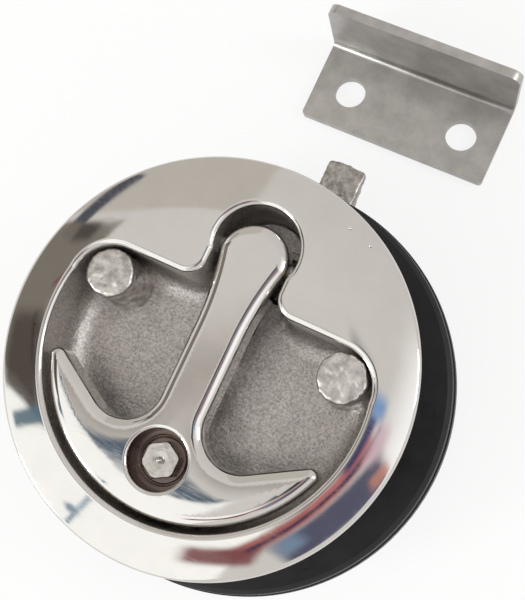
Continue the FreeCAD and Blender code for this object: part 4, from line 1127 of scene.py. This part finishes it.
# Patches of the world that the polished steel mirrors, by the x and y of their direction:
# middle x, middle y, half length, half width, turn, softness, colour, share
PATCHES = (
    (-0.62, 0.60, 0.33, 0.34, 0.0, 0.015, "#B5AFA6", 0.75),
    (-0.715, 0.30, 0.030, 0.15, -0.30, 0.010, "#2C3244", 0.9),
    (0.60, 0.14, 0.22, 0.26, 0.0, 0.14, "#FFFFFF", 1.0),
    (-0.70, -0.024, 0.16, 0.238, 0.0, 0.015, "#756E66", 0.95),
    (-0.67, 0.185, 0.05, 0.035, 0.0, 0.020, "#3E3A38", 0.8),
    (-0.655, -0.21, 0.13, 0.15, 0.25, 0.030, "#4C4440", 0.9),
    (-0.60, -0.20, 0.12, 0.004, -1.05, 0.004, "#9A938C", 0.7),
    (-0.58, -0.22, 0.12, 0.004, -1.05, 0.004, "#9A938C", 0.6),
    (-0.62, -0.163, 0.12, 0.014, -0.90, 0.010, "#3A302E", 0.8),
    (-0.60, -0.10, 0.10, 0.010, -1.0, 0.008, "#8A8078", 0.7),
    (-0.63, 0.050, 0.05, 0.007, 0.78, 0.006, "#7A3A48", 0.8),
    (-0.36, -0.66, 0.46, 0.37, 0.04, 0.015, "#FFFFFC", 1.0),
    (-0.330, -0.235, 0.17, 0.13, -0.12, 0.012, "#FFFFFC", 1.0),
    (-0.315, -0.106, 0.155, 0.011, -0.12, 0.007, "#2F4A62", 0.95),
    (-0.283, -0.088, 0.022, 0.020, 0.4, 0.012, "#2F4A62", 0.95),
    (-0.250, -0.015, 0.15, 0.050, 0.10, 0.050, "#A9A29B", 0.9),
    (-0.60, -0.325, 0.10, 0.024, 0.68, 0.010, "#5E7682", 0.95),
    (-0.375, -0.50, 0.008, 0.13, -0.30, 0.006, "#6E8CA0", 0.9),
    (-0.405, -0.535, 0.022, 0.020, 0.5, 0.014, "#6E8CA0", 0.9),
    (0.345, -0.25, 0.095, 0.22, -0.48, 0.030, "#474962", 0.95),
    (0.236, -0.385, 0.055, 0.045, -0.4, 0.030, "#7B93AB", 0.8),
    (0.130, -0.35, 0.042, 0.14, -0.49, 0.022, "#A25856", 0.95),
    (0.045, -0.475, 0.115, 0.055, 0.2, 0.025, "#7E4C4E", 0.95),
    (0.240, -0.114, 0.045, 0.13, -0.37, 0.022, "#B46866", 0.95),
    (0.192, -0.25, 0.012, 0.20, -0.47, 0.010, "#2E3450", 0.9),
    (0.275, -0.05, 0.010, 0.10, -0.30, 0.010, "#303858", 0.8),
    (0.330, 0.000, 0.050, 0.060, 0.0, 0.040, "#CDB0BC", 0.8),
    (0.205, -0.016, 0.042, 0.085, -0.15, 0.018, "#393D64", 0.95),
    (0.236, 0.089, 0.060, 0.030, 0.0, 0.028, "#6E96C8", 0.9),
    (0.445, -0.09, 0.035, 0.045, -0.4, 0.020, "#C48A7A", 0.8),
    (0.050, -0.03, 0.080, 0.180, 0.0, 0.040, "#19191B", 0.95),
)


class LATCH_OT_stage(bpy.types.Operator):
    """White table, soft studio light and the camera"""

    bl_idname = "latch.stage"
    bl_label = "Stage"

    def execute(self, context):
        self.camera(context)
        self.floor()
        self.world(context)
        self.lamps(context)
        context.scene.view_settings.view_transform = "Standard"
        return {"FINISHED"}

    def camera(self, context):
        data = bpy.data.cameras.new("camera")
        camera = placed("camera", data)
        turn = (Matrix.Rotation(-0.170, 3, "X") @ Matrix.Rotation(0.163, 3, "Y")
                @ Matrix.Rotation(0.444, 3, "Z") @ Matrix.Diagonal((1, -1, -1)))
        shift = Vector((-14.539, 15.637, 252.492))
        place = (Vector((0, 0, 1.0)) - turn.transposed() @ shift) * MM
        axes = Matrix((turn[0], -turn[1], -turn[2])).transposed()
        camera.matrix_world = Matrix.Translation(place) @ axes.to_4x4()
        focal, longer_side = 1001, 600
        data.sensor_width = 36
        data.lens = focal / longer_side * data.sensor_width
        data.clip_start, data.clip_end = 0.01, 20
        context.scene.camera = camera

    def floor(self):
        gap, size = 0.2 * MM, 3.0
        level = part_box("rear_cover")[0].z - gap
        mesh = bpy.data.meshes.new("table")
        corners = ((-size, -size), (size, -size), (size, size), (-size, size))
        mesh.from_pydata([(x, y, level) for x, y in corners], [], [(0, 1, 2, 3)])
        table = placed("table", mesh)
        material = bpy.data.materials.new("white_card")
        tree = empty_tree(material)
        card = node(tree, "ShaderNodeBsdfDiffuse", Color=(0.86, 0.86, 0.86, 1)).outputs[0]
        glow = node(tree, "ShaderNodeEmission", Color=(1, 1, 1, 1), Strength=1.0).outputs[0]
        path = node(tree, "ShaderNodeLightPath")
        seen = maths(tree, "MULTIPLY", path.outputs["Is Camera Ray"], 0.82)
        share = maths(tree, "MULTIPLY_ADD", path.outputs["Is Glossy Ray"], 0.5, seen)
        mix = node(tree, "ShaderNodeMixShader", Fac=share, i1=card, i2=glow).outputs[0]
        node(tree, "ShaderNodeOutputMaterial", Surface=mix)
        mesh.materials.append(material)

    def world(self, context):
        """Pale room with a window, a dark doorway and tinted panels, as the polished steel mirrors them."""
        context.scene.world = bpy.data.worlds.new("studio")
        tree = empty_tree(context.scene.world)
        way = node(tree, "ShaderNodeTexCoord").outputs["Generated"]
        x, y, z = node(tree, "ShaderNodeSeparateXYZ", Vector=way).outputs
        colour = tint(tree, y, linear("#D1CECA"), linear("#C9C5C1"), 0.0, 0.6)
        above = node(tree, "ShaderNodeMapRange", {"interpolation_type": "SMOOTHSTEP"}, Value=z, From_Min=0.05,
                     From_Max=0.2).outputs[0]
        for cx, cy, half_u, half_v, turn, soft, patch_colour, share in PATCHES:
            edges = []
            for ax, ay, half in ((math.cos(turn), math.sin(turn), half_u),
                                 (-math.sin(turn), math.cos(turn), half_v)):
                first = maths(tree, "MULTIPLY_ADD", x, ax, -(cx * ax + cy * ay))
                off = maths(tree, "ABSOLUTE", maths(tree, "MULTIPLY_ADD", y, ay, first))
                edges.append(node(tree, "ShaderNodeMapRange", {"interpolation_type": "SMOOTHSTEP"},
                                  Value=off, From_Min=half - soft, From_Max=half + soft,
                                  To_Min=1.0, To_Max=0.0).outputs[0])
            cover = maths(tree, "MULTIPLY", above, share)
            area = maths(tree, "MULTIPLY", maths(tree, "MULTIPLY", *edges), cover)
            colour = node(tree, "ShaderNodeMix", {"data_type": "RGBA"}, i0=area, i6=colour,
                          i7=linear(patch_colour)).outputs[2]
        room = node(tree, "ShaderNodeBackground", Color=colour, Strength=1.4).outputs[0]
        white = node(tree, "ShaderNodeBackground", Color=(1, 1, 1, 1), Strength=1.0).outputs[0]
        path = node(tree, "ShaderNodeLightPath")
        mix = node(tree, "ShaderNodeMixShader", Fac=path.outputs["Is Camera Ray"], i1=room,
                   i2=white).outputs[0]
        node(tree, "ShaderNodeOutputWorld", Surface=mix)

    def lamps(self, context):
        for name, way, distance, size, power in (("window_light", (-0.60, -0.66, 0.45), 0.9, 0.22, 3.0),
                                                 ("ceiling_light", (0.74, 0.36, 0.57), 1.0, 0.26, 1.8)):
            data = bpy.data.lights.new(name, "AREA")
            data.size = size
            data.energy = power
            lamp = placed(name, data)
            lamp.location = Vector(way).normalized() * distance
            lamp.rotation_euler = Vector(way).to_track_quat("Z", "Y").to_euler()


class LATCH_PT_panel(bpy.types.Panel):
    """Lists the latch's sizes, colours and pieces"""

    bl_label = "Flush slam latch"
    bl_idname = "LATCH_PT_panel"
    bl_space_type = "VIEW_3D"
    bl_region_type = "UI"
    bl_category = "Latch"

    def draw(self, context):
        for group in (context.scene.latch_sizes, context.scene.latch_colours):
            for name in group.__annotations__:
                self.layout.prop(group, name)
        for operator in OPERATORS:
            self.layout.operator(operator.bl_idname)


OPERATORS = (LATCH_OT_stage, LATCH_OT_flange, LATCH_OT_cup, LATCH_OT_bosses, LATCH_OT_barrel, LATCH_OT_handle,
             LATCH_OT_lock, LATCH_OT_clamp_ring, LATCH_OT_bolt, LATCH_OT_strike, LATCH_OT_springs,
             LATCH_OT_mechanism)
CLASSES = (LatchSizes, LatchColours, *OPERATORS, LATCH_PT_panel)


def register():
    for made in CLASSES:
        bpy.utils.register_class(made)
    bpy.types.Scene.latch_sizes = bpy.props.PointerProperty(type=LatchSizes)
    bpy.types.Scene.latch_colours = bpy.props.PointerProperty(type=LatchColours)


def unregister():
    del bpy.types.Scene.latch_colours
    del bpy.types.Scene.latch_sizes
    for made in reversed(CLASSES):
        bpy.utils.unregister_class(made)


def main():
    """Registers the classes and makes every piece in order."""
    register()
    make_finishes()
    for operator in OPERATORS:
        group, name = operator.bl_idname.split(".")
        getattr(getattr(bpy.ops, group), name)()


if __name__ == "__main__":
    main()
